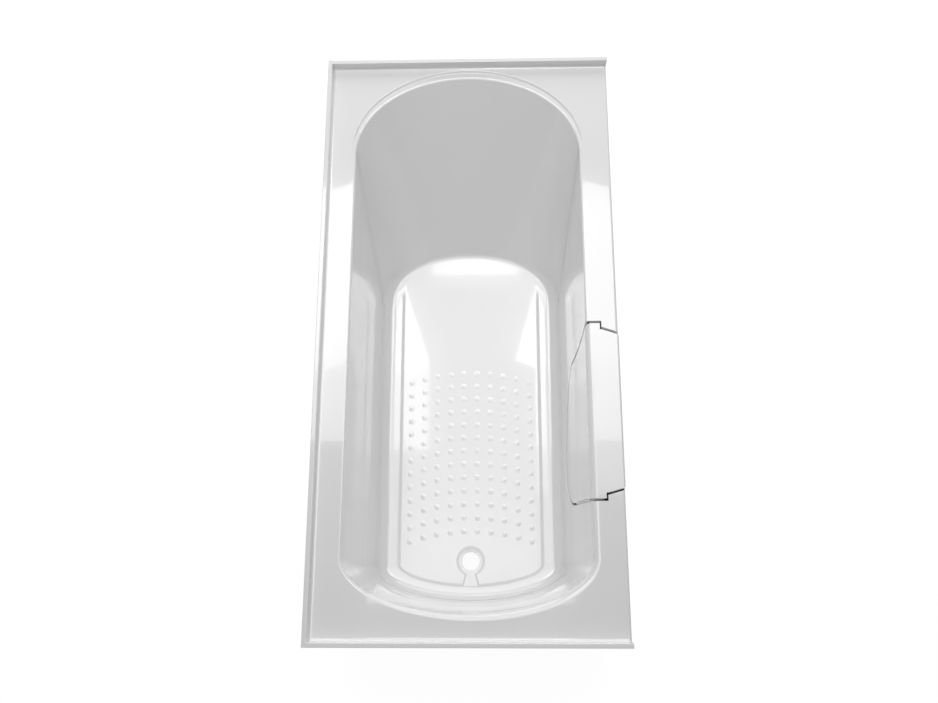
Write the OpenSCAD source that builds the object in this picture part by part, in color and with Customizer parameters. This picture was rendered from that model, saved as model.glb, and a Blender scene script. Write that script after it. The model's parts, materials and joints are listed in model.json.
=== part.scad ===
/* [Tub] */
// Overall length over the tile flanges
tub_length = 1524; // [1490:2:1600]
// Overall width from the wall flange to the front edge
tub_width = 762; // [740:2:820]
// Depth of the well from the deck to the floor gutter, at the head end
well_depth = 395; // [380:1:400]
// Thickness of the moulded shell
shell_t = 5; // [4:0.5:5.5]
// Radius of the edge between the deck and the well
rim_r = 6; // [6:0.5:10]
// Radius of that edge along the doorway and the front of the drain end
door_rim_r = 16; // [10:1:20]

/* [Deck] */
// Width of the deck along each side of the well
side_deck = 80; // [72:1:95]
// Width of the deck at the drain end
foot_deck = 72; // [66:1:90]
// Width of the deck at the head end
head_deck = 38; // [34:1:50]
// Height of the tile flange above the deck
flange_h = 25; // [15:1:35]
// Thickness of the tile flange
flange_t = 11; // [7:0.5:12]
// Depth of the lip turned down along the front edge
lip_h = 30; // [22:1:40]
// Radius of the front edge of the deck
front_edge_r = 5; // [3:0.5:6]
// Width of the crescent ledge round the head end
crescent_w = 11; // [10:1:18]
// Drop of the crescent ledge below the deck
crescent_drop = 3.5; // [2:0.5:4]

/* [Well] */
// Length of the rounded head end, in plan at the deck
head_cap = 224; // [190:1:245]
// Length of the rounded drain end, in plan at the deck
foot_cap = 130; // [110:1:150]
// Slope of the long walls, sideways for each unit of depth
wall_draft = 0.1; // [0.08:0.01:0.12]
// Horizontal run of the backrest
backrest_run = 379; // [355:1:405]
// Horizontal run of the wall at the drain end
foot_run = 10; // [8:1:16]
// Length of the rounded head end of the floor
floor_head_cap = 172; // [150:1:185]
// Length of the rounded drain end of the floor
floor_foot_cap = 90; // [80:1:100]
// Radius of the cove along the long walls
side_cove_r = 40; // [34:1:44]
// Radius of the cove below the backrest
head_cove_r = 90; // [70:1:100]
// Radius of the cove at the drain end
foot_cove_r = 36; // [30:1:40]
// Fall of the floor towards the drain
floor_fall = 8; // [4:1:10]

/* [Floor panel] */
// Width of the gutter between the long coves and the raised panel
side_gutter = 23; // [18:1:28]
// Width of the gutter at the drain end
foot_gutter = 5; // [4:1:9]
// Height of the raised panel above the gutter
panel_step = 4; // [2:0.5:4.5]
// Length of the rounded drain end of the panel
panel_foot_cap = 56; // [45:1:65]

/* [Drain] */
// Distance of the drain from the outer end of the tub
drain_setback = 186; // [180:1:196]
// Radius of the drain hole
drain_r = 26; // [22:0.5:28]
// Radius of the recess round the drain
recess_r = 38; // [36:0.5:41]
// Width of the channel from the gutter to the recess
channel_w = 40; // [30:1:46]
// Radius of the waste cut-out in the base board
waste_cutout_r = 48; // [44:1:55]

/* [Doorway] */
// Distance from the drain end of the tub to the hinge side of the door
door_setback = 336; // [325:1:345]
// Width of the door between its seams at the deck
door_w = 443; // [430:1:460]
// Depth of the lowest point of the door below the deck
door_depth = 292; // [280:1:300]
// Distance of that lowest point from the hinge side
sill_low_x = 118; // [110:1:130]
// Radius of the sill curve
sill_r = 395; // [385:1:405]
// Radius of the lower corner on the hinge side
hinge_corner_r = 80; // [70:1:88]
// Radius of the lower corner on the latch side
latch_corner_r = 45; // [40:1:50]
// Radius of the curved edge on the latch side
latch_edge_r = 500; // [480:1:540]
// Lean of that edge at the deck, from upright, in degrees
latch_edge_lean = 31.2; // [29:0.2:33]
// Width of the seam all round the door
seam_gap = 4.5; // [4:0.25:5.5]
// Width of the step between the inner and outer parts of the doorway
step_w = 14; // [12:0.5:16]
// Extra inset of the outer face, so that the door closes like a plug
plug_taper = 12; // [8:0.5:13]
// Distance of the step behind the front face
step_back = 41; // [38:0.5:44]
// Width of the moulded frame round the doorway
frame_w = 34; // [28:1:38]
// Amount that the front of the door stands proud
door_proud = 2; // [1:0.5:3]
// Thickness of the skin on the front of the door
door_skin_t = 6; // [4:0.5:7]

/* [Hinge and latch] */
// Length of the hinge
hinge_l = 150; // [120:5:160]
// Distance of the top of the hinge below the deck
hinge_drop = 24; // [22:1:32]
// Radius of the hinge pin
hinge_pin_r = 1.5; // [1.25:0.05:1.6]
// Radius of the hinge knuckles
knuckle_r = 3.4; // [3.2:0.1:3.6]
// Thickness of the hinge leaves
leaf_t = 1.4; // [1.2:0.1:1.5]
// Distance of the latch pivot from the hinge side of the door
latch_x = 318; // [310:1:322]
// Depth of the latch pivot below the deck
latch_drop = 150; // [142:1:154]
// Length of the latch lever from its pivot to its tip
lever_l = 72; // [70:1:76]
// Thickness of the latch lever
lever_t = 6; // [5:0.5:7]
// Height of the thumb piece on the lever
thumb_h = 6; // [4:0.5:7]
// Thickness of the strike plate
strike_t = 2.5; // [2.5:0.5:3.5]
// Radius of the latch pivot
latch_pin_r = 4; // [3.5:0.1:4.5]

/* [Frame and feet] */
// Height of the lower rails above the ground, with the feet in their middle place
rail_clear = 58.4; // [56:0.2:66]
// Distance of the frame tubes behind the front and back edges of the deck
frame_setback = 28; // [26:1:34]
// Side of the square frame tubes
tube = 25; // [22:1:26]
// Wall of the frame tubes
tube_wall = 2; // [1.5:0.5:2.5]
// Thickness of the base board at the drain end
board_t = 16; // [14:1:18]
// Half width of the base board
board_half = 205; // [190:1:215]
// Radius of the threaded stems of the feet
stem_r = 6; // [5:0.5:7]
// Radius of the foot pads
pad_r = 24; // [20:1:28]
// Thickness of the foot pads
pad_t = 12; // [10:1:13]
// Height of the welded nuts under the rails
nut_h = 10; // [8:1:11]
// Distance of the end feet from the ends of the tub
foot_setback = 90; // [80:1:110]
// Distance of the end screws of the apron from the ends of the tub
screw_setback = 60; // [40:1:80]
// Thickness of the front apron
apron_t = 5; // [4:0.5:5]
// Clearance between the apron and the ground
apron_clear = 14; // [10:1:20]
// Number of screws along the foot of the apron
apron_screw_count = 6; // [4:1:8]
// Radius of the apron screws
screw_r = 2; // [1.75:0.25:2.5]

/* [Hidden] */

// Colours
acrylic = "white";
steel = "silver";
rubber = "dimgray";
timber = "burlywood";

// Clearances
seat_gap = 0.3;
pin_gap = 0.05;
lever_gap = 0.5;
relief_gap = 0.6;
over = 30;

// Spare length of a tool that cuts or trims through a piece
spare = 10;

// Facets round each rounded end, and along each fillet
cap_steps = 40;
rim_steps = 4;
cove_steps = 6;

// Height of the deck above the ground: feet, rails, board and well under it
rim_height = rail_clear + tube + board_t + 2 * seat_gap + shell_t + floor_fall + well_depth;

// Faces and edges of the tub, measured from its middle
half_l = tub_length / 2;
half_w = tub_width / 2;
basin_half = half_w - side_deck;
basin_foot = foot_deck - half_l;
basin_head = half_l - head_deck;
rim_foot_x = basin_foot + foot_cap;
rim_head_x = basin_head - head_cap;
side_run = wall_draft * well_depth;
floor_half = basin_half - side_run;
floor_foot = basin_foot + foot_run;
floor_head = basin_head - backrest_run;
floor_foot_x = floor_foot + floor_foot_cap;
floor_head_x = floor_head - floor_head_cap;
floor_head_power = 2.15;
panel_power = 1.85;

// Places on the front where the rounding of the rim changes, from the foot to the head
rim_change = [12, 9, 1];

// Distance that the head end of the floor panel keeps from the cove, and its shorter rounding
panel_head_gap = 8;
panel_cap_less = 25;

// The front overhang of the latch puts the middle of the box in front of the middle of the tub
overhang = strike_t + lever_gap + lever_t + thumb_h;
mid_y = overhang / 2;

// Doorway circles, as distance along the tub and height from the deck
hinge_x = door_setback - half_l;
latch_edge_x = hinge_x + door_w;
sill_centre = [hinge_x + sill_low_x, sill_r - door_depth];
edge_centre = [latch_edge_x + latch_edge_r * cos(latch_edge_lean), -latch_edge_r * sin(latch_edge_lean)];
hinge_corner = [
  hinge_x + hinge_corner_r,
  sill_centre[1] - sqrt(pow(sill_r - hinge_corner_r, 2) - pow(hinge_x + hinge_corner_r - sill_centre[0], 2))
];
latch_corner = meet(sill_centre, sill_r - latch_corner_r, edge_centre, latch_edge_r + latch_corner_r);
step_y = step_back - half_w;
inner_y = -half_w + side_deck;

// Hinge axis, in the face of the drafted wall at the hinge side seam
axis_tilt = atan(wall_draft);
axis_back = 1;
axis_x = hinge_x;
hinge_top = -hinge_drop;
knuckles = 5;
knuckle_gap = 0.5;

// Reach of the stems into the rails
stem_reach = 10;

// Heights of the frame
floor_low = rim_height - well_depth - floor_fall - shell_t;
board_low = floor_low - seat_gap - board_t;
rail_top = board_low - seat_gap;
rail_low = rail_top - tube;
under_deck = 1;
top_rail_top = rim_height - shell_t - crescent_drop - under_deck;
top_rail_low = top_rail_top - tube;
rail_y = half_w - frame_setback - tube / 2;
end_x = half_l - flange_t - seat_gap - tube / 2;
drain_x = drain_setback - half_l;
foot_x = [foot_setback - half_l, 0, half_l - foot_setback];
board_gap_foot = 12;
board_gap_head = 30;
board_foot = floor_foot + board_gap_foot;
board_head = floor_head - board_gap_head;
cross_x = [-end_x, hinge_x - tube / 2, lerp(hinge_x, board_head, 0.5), board_head - 3 * tube, end_x];

function lerp(a, b, f) = a + (b - a) * f;
function unit(v) = v / norm(v);
function signed_power(v, e) = sign(v) * pow(abs(v), e);

// Where two circles meet, on the lower side
function meet(a, ra, b, rb) =
  let (d = norm(b - a), along = (ra * ra - rb * rb + d * d) / (2 * d), u = (b - a) / d)
  a + u * along + [u[1], -u[0]] * sqrt(ra * ra - along * along);

function arc(centre, r, a0, a1, steps) =
  [for (k = [0:steps]) centre + r * [cos(lerp(a0, a1, k / steps)), sin(lerp(a0, a1, k / steps))]];

function bearing(from, to) = atan2(to[1] - from[1], to[0] - from[0]);

// Outline of the doorway, inset by g, as distance along the tub and height from the deck
function outline(g) =
  let (
    low = bearing(sill_centre, hinge_corner),
    rise = bearing(sill_centre, latch_corner),
    side = bearing(latch_corner, edge_centre),
    edge_low = bearing(edge_centre, latch_corner),
    edge_top = 180 - latch_edge_lean,
    far = edge_centre + (latch_edge_r + g) * [cos(edge_top), sin(edge_top)]
  )
  concat(
    [[hinge_x + g, 2 * over - g]],
    arc(hinge_corner, hinge_corner_r - g, 180, 360 + low, 8),
    arc(sill_centre, sill_r - g, lerp(low, rise, 0.1), lerp(low, rise, 0.9), 8),
    arc(latch_corner, latch_corner_r - g, rise, side, 6),
    arc(edge_centre, latch_edge_r + g, lerp(edge_low, edge_top, 0.1), edge_top, 8),
    [[far[0], 2 * over - g]]
  );

function ring_at(g, y) = [for (p = outline(g)) [p[0], y, p[1] + rim_height]];

// What is drawn in the plane of the front, with its height from the deck, made a slab from y0 to y1
module slab(y0, y1) {
  translate([0, y1, rim_height]) rotate([90, 0, 0]) linear_extrude(y1 - y0) children();
}

// A solid through rings of equal length, closed by a flat face at each end
module loft(rings) {
  m = len(rings[0]);
  last = len(rings) - 1;
  polyhedron(
    points = [for (r = rings) each r],
    faces = concat(
      [[for (i = [0:m - 1]) i]],
      [for (j = [0:last - 1], i = [0:m - 1])
        each [
          [j * m + i, (j + 1) * m + i, (j + 1) * m + (i + 1) % m],
          [j * m + i, (j + 1) * m + (i + 1) % m, j * m + (i + 1) % m]
        ]],
      [[for (i = [m - 1:-1:0]) last * m + i]]
    ),
    convexity = 8
  );
}

// Plan of the well at one level: head end, back, drain end, front
cap_angles = [for (k = [0:cap_steps]) 180 * k / cap_steps - 90];
front_x = [hinge_x - rim_change[0], latch_edge_x - rim_change[1], latch_edge_x - rim_change[2]];
front_share = [for (x = front_x) (x - rim_foot_x) / (rim_head_x - rim_foot_x)];
back_share = [0.66, 0.33];

function cap_points(x, length, half, power, turn) =
  [for (t = cap_angles)
    [x + turn * length * pow(abs(cos(t)), 2 / power), turn * half * signed_power(sin(t), 2 / power)]];

function cap_normals(length, half, power, turn) =
  [for (t = cap_angles)
    -unit([
      turn * pow(abs(cos(t)), 2 - 2 / power) / length,
      turn * signed_power(sin(t), 2 - 2 / power) / half
    ])];

function loop(foot_x, head_x, foot_len, head_len, half, foot_power, head_power) = concat(
  cap_points(head_x, head_len, half, head_power, 1),
  [for (f = back_share) [lerp(foot_x, head_x, f), half]],
  cap_points(foot_x, foot_len, half, foot_power, -1),
  [for (f = front_share) [lerp(foot_x, head_x, f), -half]]
);

function normals(foot_len, head_len, half, foot_power, head_power) = concat(
  cap_normals(head_len, half, head_power, 1),
  [for (f = back_share) [0, -1]],
  cap_normals(foot_len, half, foot_power, -1),
  [for (f = front_share) [0, 1]]
);

// One value for each point of a plan, from a rule for each stretch
function along(head, back, foot, front) = concat(
  [for (t = cap_angles) head(t)],
  [for (f = back_share) back],
  [for (t = cap_angles) foot(t)],
  front
);

rim_line = loop(rim_foot_x, rim_head_x, foot_cap, head_cap, basin_half, 2, 2);
rim_in = normals(foot_cap, head_cap, basin_half, 2, 2);
foot_line = loop(
  floor_foot_x, floor_head_x, floor_foot_cap, floor_head_cap, floor_half, 2, floor_head_power
);
foot_in = normals(floor_foot_cap, floor_head_cap, floor_half, 2, floor_head_power);
count = len(rim_line);

// Reach of the cove onto the floor, for a wall at angle a
function reach(r, a) = r * tan(a / 2);

rim_radii = along(
  function (t) rim_r,
  rim_r,
  function (t) lerp(rim_r, door_rim_r, max(0, min(1, (t - 30) / 50))),
  [door_rim_r, door_rim_r, rim_r]
);
cove_radii = along(
  function (t) lerp(side_cove_r, head_cove_r, pow(cos(t), 2)),
  side_cove_r,
  function (t) lerp(side_cove_r, foot_cove_r, pow(cos(t), 0.7)),
  [side_cove_r, side_cove_r, side_cove_r]
);
ledge_w = along(function (t) crescent_w * sqrt(cos(t)), 0, function (t) 0, [0, 0, 0]);
ledge_drop = along(function (t) crescent_drop * min(1, 4 * cos(t)), 0, function (t) 0, [0, 0, 0]);
panel_rise = along(
  function (t) panel_step * pow(abs(sin(t)), 6),
  panel_step,
  function (t) panel_step,
  [panel_step, panel_step, panel_step]
);

function run_at(i, ways) = (foot_line[i] - rim_line[i]) * ways[i];
function rim_slope(i) = atan2(well_depth, run_at(i, rim_in));
function foot_slope(i) = atan2(well_depth, run_at(i, foot_in));
function fall_at(x) = floor_fall * (floor_head - x) / (floor_head - floor_foot);

side_reach = reach(side_cove_r, atan2(well_depth, side_run));
panel_half = floor_half - side_reach - side_gutter;
panel_foot = floor_foot + reach(foot_cove_r, atan2(well_depth, foot_run)) + foot_gutter;
panel_foot_x = panel_foot + panel_foot_cap;
panel_head = floor_head - reach(head_cove_r, atan2(well_depth, backrest_run)) - panel_head_gap;
panel_head_cap = floor_head_cap - panel_cap_less;
panel_head_x = panel_head - panel_head_cap;
panel_line = loop(
  panel_foot_x, panel_head_x, panel_foot_cap, panel_head_cap, panel_half, panel_power, floor_head_power
);
panel_edge = 3;
gutter_line = loop(
  panel_foot_x, panel_head_x, panel_foot_cap + panel_edge, panel_head_cap + panel_edge,
  panel_half + panel_edge, panel_power, floor_head_power
);

// Point of the deck's outer rectangle that belongs to each point of the plan
corner_step = 11;
function cap_frame(k, x, turn) =
  let (quarter = cap_steps / 2, j = abs(k - quarter), way = sign(k - quarter))
  j <= corner_step
    ? [turn * half_l, turn * way * half_w * j / corner_step]
    : [lerp(turn * half_l, x, (j - corner_step) / (quarter - corner_step)), turn * way * half_w];

deck_frame = concat(
  [for (k = [0:cap_steps]) cap_frame(k, rim_head_x, 1)],
  [for (f = back_share) [lerp(rim_foot_x, rim_head_x, f), half_w]],
  [for (k = [0:cap_steps]) cap_frame(k, rim_foot_x, -1)],
  [for (x = front_x) [x, -half_w]]
);

function at(p, z) = [p[0], p[1], z + rim_height];
function move_in(line, ways, i, d) = line[i] + ways[i] * d;

// Rings of the upper face, for t = 0, or of the underside, for t = the shell's thickness
function deck_ring(t) = [for (i = [0:count - 1]) at(deck_frame[i], -t)];

function ledge_ring(t, extra, drop) = [for (i = [0:count - 1])
  let (start = reach(rim_radii[i], rim_slope(i)) + ledge_w[i])
  at(move_in(rim_line, rim_in, i, -start - extra), -t - drop * ledge_drop[i])];

function rim_point(i, t, k) =
  let (
    a = rim_slope(i), r = rim_radii[i], phi = a * k / rim_steps, drop = ledge_drop[i],
    shift = drop * run_at(i, rim_in) / well_depth
  )
  at(move_in(rim_line, rim_in, i, shift - reach(r, a) + (r - t) * sin(phi)), (r - t) * cos(phi) - r - drop);

function rim_ring(t, k) = [for (i = [0:count - 1]) rim_point(i, t, k)];

function cove_point(i, t, k, fall) =
  let (a = foot_slope(i), r = cove_radii[i], phi = a * (1 - k / cove_steps),
    p = move_in(foot_line, foot_in, i, reach(r, a) - (r + t) * sin(phi)))
  at(p, r - well_depth - (r + t) * cos(phi) - fall * fall_at(p[0]));

function cove_ring(t, k) = [for (i = [0:count - 1]) cove_point(i, t, k, 1)];

function wall_ring(t, f) = [for (i = [0:count - 1])
  lerp(rim_point(i, t, rim_steps), cove_point(i, t, 0, 0), f)];

function floor_ring(line, rise) = [for (i = [0:count - 1])
  at(line[i], rise * panel_rise[i] - well_depth - fall_at(line[i][0]))];

floor_middle = [0, 0];
upper_rings = concat(
  [floor_ring(panel_line, 1), floor_ring(gutter_line, 0)],
  [for (k = [cove_steps:-1:0]) cove_ring(0, k)],
  [wall_ring(0, 0.85), wall_ring(0, 0.4)],
  [for (k = [rim_steps:-1:0]) rim_ring(0, k)],
  [ledge_ring(0, 0.5, 1), ledge_ring(0, 2, 0), deck_ring(0)]
);
under_rings = concat(
  [deck_ring(shell_t), ledge_ring(shell_t, 2, 0), ledge_ring(shell_t, 0.5, 1)],
  [for (k = [0:rim_steps]) rim_ring(shell_t, k)],
  [wall_ring(shell_t, 0.4), wall_ring(shell_t, 0.85)],
  [for (k = [0:2:cove_steps]) cove_ring(shell_t, k)]
);

// The moulded skin of deck, walls and floor
module skin() {
  rings = concat(upper_rings, under_rings);
  last = len(rings) - 1;
  top = count * len(rings);
  polyhedron(
    points = concat(
      [for (r = rings) each r],
      [
        at(floor_middle, panel_step - well_depth - fall_at(floor_middle[0])),
        at(floor_middle, -well_depth - shell_t - fall_at(floor_middle[0]))
      ]
    ),
    faces = concat(
      [for (i = [0:count - 1]) [top, (i + 1) % count, i]],
      [for (j = [0:last - 1], i = [0:count - 1])
        each [
          [j * count + i, (j + 1) * count + (i + 1) % count, (j + 1) * count + i],
          [j * count + i, j * count + (i + 1) % count, (j + 1) * count + (i + 1) % count]
        ]],
      [for (i = [0:count - 1]) [top + 1, last * count + i, last * count + (i + 1) % count]]
    ),
    convexity = 10
  );
}

// Everything is drawn about the middle of the tub and moved to the middle of the whole box
module centred() {
  translate([0, mid_y, 0]) children();
}

// A bar between two corners
module bar(low, high) {
  translate(low) cube(high - low);
}

// The whole doorway, stepped: the wide part inside, the tapered part outside
doorway_reach = 120;
module doorway(gap) {
  loft([
    ring_at(-gap, inner_y + doorway_reach),
    ring_at(-gap, step_y),
    ring_at(step_w - gap, step_y),
    ring_at(step_w + plug_taper - gap, -half_w),
    ring_at(step_w + plug_taper - gap, -half_w - over)
  ]);
}

// Cross-section of the drafted front wall, offset outwards by t, with its rounded top edge
function wall_section(t, low) =
  let (a = atan2(1, wall_draft), r = door_rim_r, start = reach(r, a))
  concat(
    [for (k = [0:8]) let (phi = a * k / 8)
      [inner_y - start + (r - t) * sin(phi), rim_height - r + (r - t) * cos(phi)]],
    [[inner_y + wall_draft * low - t / sin(a), rim_height - low]]
  );

// A prism along the tub, from a cross-section in width and height
module along_tub(x0, x1, section) {
  translate([x0, 0, 0]) rotate([90, 0, 90]) linear_extrude(x1 - x0) polygon(section);
}

// The hinge axis: s runs up along it from the foot of the hinge
module on_axis(s) {
  y = inner_y - axis_back + wall_draft * (hinge_drop + hinge_l);
  translate([axis_x, y, rim_height - hinge_drop - hinge_l])
    rotate([axis_tilt, 0, 0]) translate([0, 0, s]) children();
}

axis_l = hinge_l / cos(axis_tilt);

module hinge_relief() {
  on_axis(-knuckle_gap) cylinder(r = knuckle_r + relief_gap, h = axis_l + 2 * knuckle_gap, $fn = 48);
}

// Start of the drain channel in the gutter, before the foot of the panel
channel_start = 4;

module tub_shell() {
  drain_z = rim_height - well_depth - fall_at(drain_x);
  color(acrylic) centred() difference() {
    union() {
      skin();
      bar([half_l - flange_t, -half_w, rim_height - shell_t], [half_l, half_w, rim_height + flange_h]);
      bar([-half_l, -half_w, rim_height - shell_t], [flange_t - half_l, half_w, rim_height + flange_h]);
      bar([-half_l, half_w - flange_t, rim_height - shell_t], [half_l, half_w, rim_height + flange_h]);
      bar([-half_l, -half_w, rim_height - lip_h], [half_l, shell_t - half_w, rim_height - shell_t / 2]);
    }
    doorway(seam_gap / 2);
    hinge_relief();
    front_edge_cut();
    translate([drain_x, 0, 0]) cylinder(r = drain_r, h = rim_height, $fn = 96);
    translate([drain_x, 0, drain_z - 1]) cylinder(r = recess_r, h = over, $fn = 96);
    bar([panel_foot - channel_start, -channel_w / 2, drain_z], [drain_x, channel_w / 2, drain_z + over]);
  }
}

// Rounds the front edge of the deck between the end flanges
module front_edge_cut() {
  r = front_edge_r;
  length = tub_length - 2 * flange_t;
  difference() {
    bar([-length / 2, -half_w - r, rim_height - r], [length / 2, r - half_w, rim_height + r]);
    translate([-half_l, r - half_w, rim_height - r])
      rotate([0, 90, 0]) cylinder(r = r, h = tub_length, $fn = 48);
  }
}

module base_board() {
  x0 = board_foot;
  x1 = board_head;
  top = rim_height - well_depth - shell_t - seat_gap;
  color(timber) centred() difference() {
    translate([0, board_half, 0]) rotate([90, 0, 0]) linear_extrude(2 * board_half) polygon([
      [x0, board_low], [x1, board_low], [x1, top - fall_at(x1)], [x0, top - fall_at(x0)]
    ]);
    translate([drain_x, 0, 0]) cylinder(r = waste_cutout_r, h = rim_height, $fn = 72);
  }
}

apron_gap = 1;
apron_fold = 10;
apron_top = rim_height - lip_h - apron_gap;
apron_screw_z = rail_low + tube / 2;
screw_end = half_l - screw_setback;
function apron_screw_x(k) = lerp(-screw_end, screw_end, k / (apron_screw_count - 1));

module apron_screw_at(k) {
  translate([apron_screw_x(k), -half_w, apron_screw_z]) rotate([-90, 0, 0]) children();
}

// The skirt panel below the front lip, with a turned foot
module front_apron() {
  color(acrylic) centred() difference() {
    union() {
      bar([-half_l, -half_w, apron_clear], [half_l, apron_t - half_w, apron_top]);
      bar([-half_l, -half_w, apron_clear], [half_l, apron_fold - half_w, apron_clear + apron_t]);
    }
    doorway(seam_gap / 2);
    for (k = [0:apron_screw_count - 1])
      apron_screw_at(k) translate([0, 0, -1]) cylinder(r = screw_r + pin_gap, h = apron_t + 2, $fn = 24);
  }
}

// Folded brackets between the front rail and the apron
bracket_w = 24;
bracket_t = 2;
module apron_brackets() {
  w = bracket_w;
  t = bracket_t;
  back = -rail_y - tube / 2 - seat_gap / 2;
  front = apron_t - half_w + seat_gap / 2;
  color(steel) centred() difference() {
    for (k = [0:apron_screw_count - 1]) along_tub(apron_screw_x(k) - w / 2, apron_screw_x(k) + w / 2, [
      [back, rail_low], [back, rail_top], [back - t, rail_top], [back - t, rail_low + t],
      [front + t, rail_low + t], [front + t, rail_top], [front, rail_top], [front, rail_low]
    ]);
    for (k = [0:apron_screw_count - 1])
      apron_screw_at(k) translate([0, 0, apron_t - 1]) cylinder(r = screw_r + pin_gap, h = 6, $fn = 24);
  }
}

screw_head_h = 2.4;
screw_end_h = 8;
module apron_screws() {
  color(steel) centred() for (k = [0:apron_screw_count - 1]) apron_screw_at(k) {
    translate([0, 0, -screw_head_h])
      cylinder(r1 = 1.7 * screw_r, r2 = 2.1 * screw_r, h = screw_head_h, $fn = 32);
    cylinder(r = screw_r, h = apron_t + screw_end_h, $fn = 24);
  }
}

// The moulded jambs and sill between the wall of the well and the apron
module door_frame() {
  front = apron_t + seat_gap - half_w;
  low = door_depth + frame_w + 2 * spare;
  section = concat(
    wall_section(shell_t + seat_gap, low),
    [[front, rim_height - low], [front, rim_height - shell_t - seat_gap]]
  );
  color(acrylic) centred() difference() {
    intersection() {
      slab(-half_w, inner_y + doorway_reach) polygon(outline(-frame_w));
      along_tub(hinge_x - 3 * frame_w, latch_edge_x + 3 * frame_w, section);
    }
    doorway(seam_gap / 2);
    hinge_relief();
  }
}

seal_t = 3.7;
seal_margin = 2;

// The rubber strip on the step of the frame, round three sides
module door_seal() {
  color(rubber) centred() slab(step_y, step_y + seal_t) difference() {
    polygon(outline(seal_margin));
    polygon(outline(step_w - seal_margin));
    translate([hinge_x - spare, -seal_margin]) square([door_w + 2 * spare, 3 * over]);
  }
}

// Knuckles k of one leaf: even ones belong to the frame, odd ones to the door
module knuckles_of(first, r, extra) {
  pitch = axis_l / knuckles;
  for (k = [first:2:knuckles - 1])
    on_axis(k * pitch + knuckle_gap / 2 - extra)
      cylinder(r = r, h = pitch - knuckle_gap + 2 * extra, $fn = 40);
}

// Clearance behind a leaf to the seal, and setback of its front edge from the face of the wall
leaf_gap = 3;
leaf_inset = 0.5;

module leaf_plate(x0) {
  top = rim_height - hinge_drop - knuckle_gap;
  low = rim_height - hinge_drop - hinge_l + knuckle_gap;
  back = step_y + seal_t + leaf_gap;
  inset = axis_back + leaf_inset;
  along_tub(x0, x0 + leaf_t, [
    [inner_y - inset + wall_draft * (rim_height - low), low],
    [inner_y - inset + wall_draft * (rim_height - top), top],
    [back, top],
    [back, low]
  ]);
}

module hinge_leaf(x0, first) {
  color(steel) centred() difference() {
    union() {
      difference() {
        leaf_plate(x0);
        knuckles_of(1 - first, knuckle_r + knuckle_gap, knuckle_gap);
      }
      knuckles_of(first, knuckle_r, 0);
    }
    on_axis(-spare) cylinder(r = hinge_pin_r + pin_gap, h = axis_l + 2 * spare, $fn = 32);
  }
}

module hinge_frame_leaf() {
  hinge_leaf(hinge_x - seam_gap / 2, 0);
}

module hinge_door_leaf() {
  hinge_leaf(hinge_x + seam_gap / 2 - leaf_t, 1);
}

module hinge_pin() {
  color(steel) centred() on_axis(knuckle_gap)
    cylinder(r = hinge_pin_r, h = axis_l - 2 * knuckle_gap, $fn = 32);
}

latch_px = hinge_x + latch_x;
latch_pz = rim_height - latch_drop;
door_face = -half_w - door_proud;
door_bevel = 1.5;
door_low = door_depth + 4 * spare;

// The stepped block of the door: the wide part inside, the tapered part outside, with a bevelled front edge
module door_block() {
  wide = seam_gap / 2;
  narrow = wide + step_w;
  face = step_y + seal_t + seat_gap;
  loft([
    ring_at(wide, inner_y + doorway_reach),
    ring_at(wide, face),
    ring_at(narrow, face),
    ring_at(narrow, step_y),
    ring_at(narrow + plug_taper, -half_w),
    ring_at(narrow + plug_taper + 2 * door_bevel * door_proud, door_face - door_proud)
  ]);
}

// Cross-section of the door: drafted inside face, top, and rounded front edge
module door_section() {
  r = front_edge_r;
  along_tub(hinge_x - over, latch_edge_x + over, concat(
    wall_section(0, door_low),
    [[door_face, rim_height - door_low]],
    [for (k = [0:6]) [door_face + r - r * cos(15 * k), rim_height - r + r * sin(15 * k)]]
  ));
}

module door_panel() {
  skin_y = door_face + door_skin_t + seat_gap;
  color(acrylic) centred() difference() {
    intersection() {
      door_block();
      door_section();
    }
    bar([hinge_x - spare, door_face - spare, 0], [latch_edge_x + spare, skin_y, rim_height - lip_h]);
    hinge_relief();
    at_latch(door_face + bolt_depth + spare) latch_bore(2 * spare + bolt_depth);
  }
}

// Depth of the shoulder bolt in the door, and its bore
bolt_depth = 18;
module latch_bore(length) {
  cylinder(r = latch_pin_r + pin_gap, h = length, $fn = 32);
}

module door_front() {
  color(acrylic) centred() difference() {
    intersection() {
      door_block();
      bar([hinge_x - spare, door_face, 0], [latch_edge_x + spare, door_face + door_skin_t, apron_top]);
    }
    at_latch(door_face + latch_base_recess) cylinder(r = latch_base_r + pin_gap, h = spare, $fn = 64);
    at_latch(door_face + bolt_depth) latch_bore(bolt_depth + spare);
  }
}

lever_y = -half_w - strike_t - lever_gap;
latch_base_r = 15;
latch_base_recess = 2.5;

module at_latch(y) {
  translate([latch_px, y, latch_pz]) rotate([90, 0, 0]) children();
}

// A round plate let into the door, under the lever
module latch_base() {
  back = door_face + latch_base_recess - seat_gap;
  color(steel) centred() difference() {
    at_latch(back) cylinder(r = latch_base_r, h = back - lever_y - seat_gap, $fn = 64);
    at_latch(back + spare) latch_bore(2 * spare);
  }
}

// The shoulder bolt that the lever turns on
bolt_head_h = 3;
module latch_pivot() {
  shank = bolt_depth + door_face - lever_y + lever_t + seat_gap;
  color(steel) centred() {
    at_latch(door_face + bolt_depth) cylinder(r = latch_pin_r, h = shank, $fn = 32);
    at_latch(lever_y - lever_t - seat_gap)
      cylinder(r1 = 2 * latch_pin_r, r2 = 1.75 * latch_pin_r, h = bolt_head_h, $fn = 48);
  }
}

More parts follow.
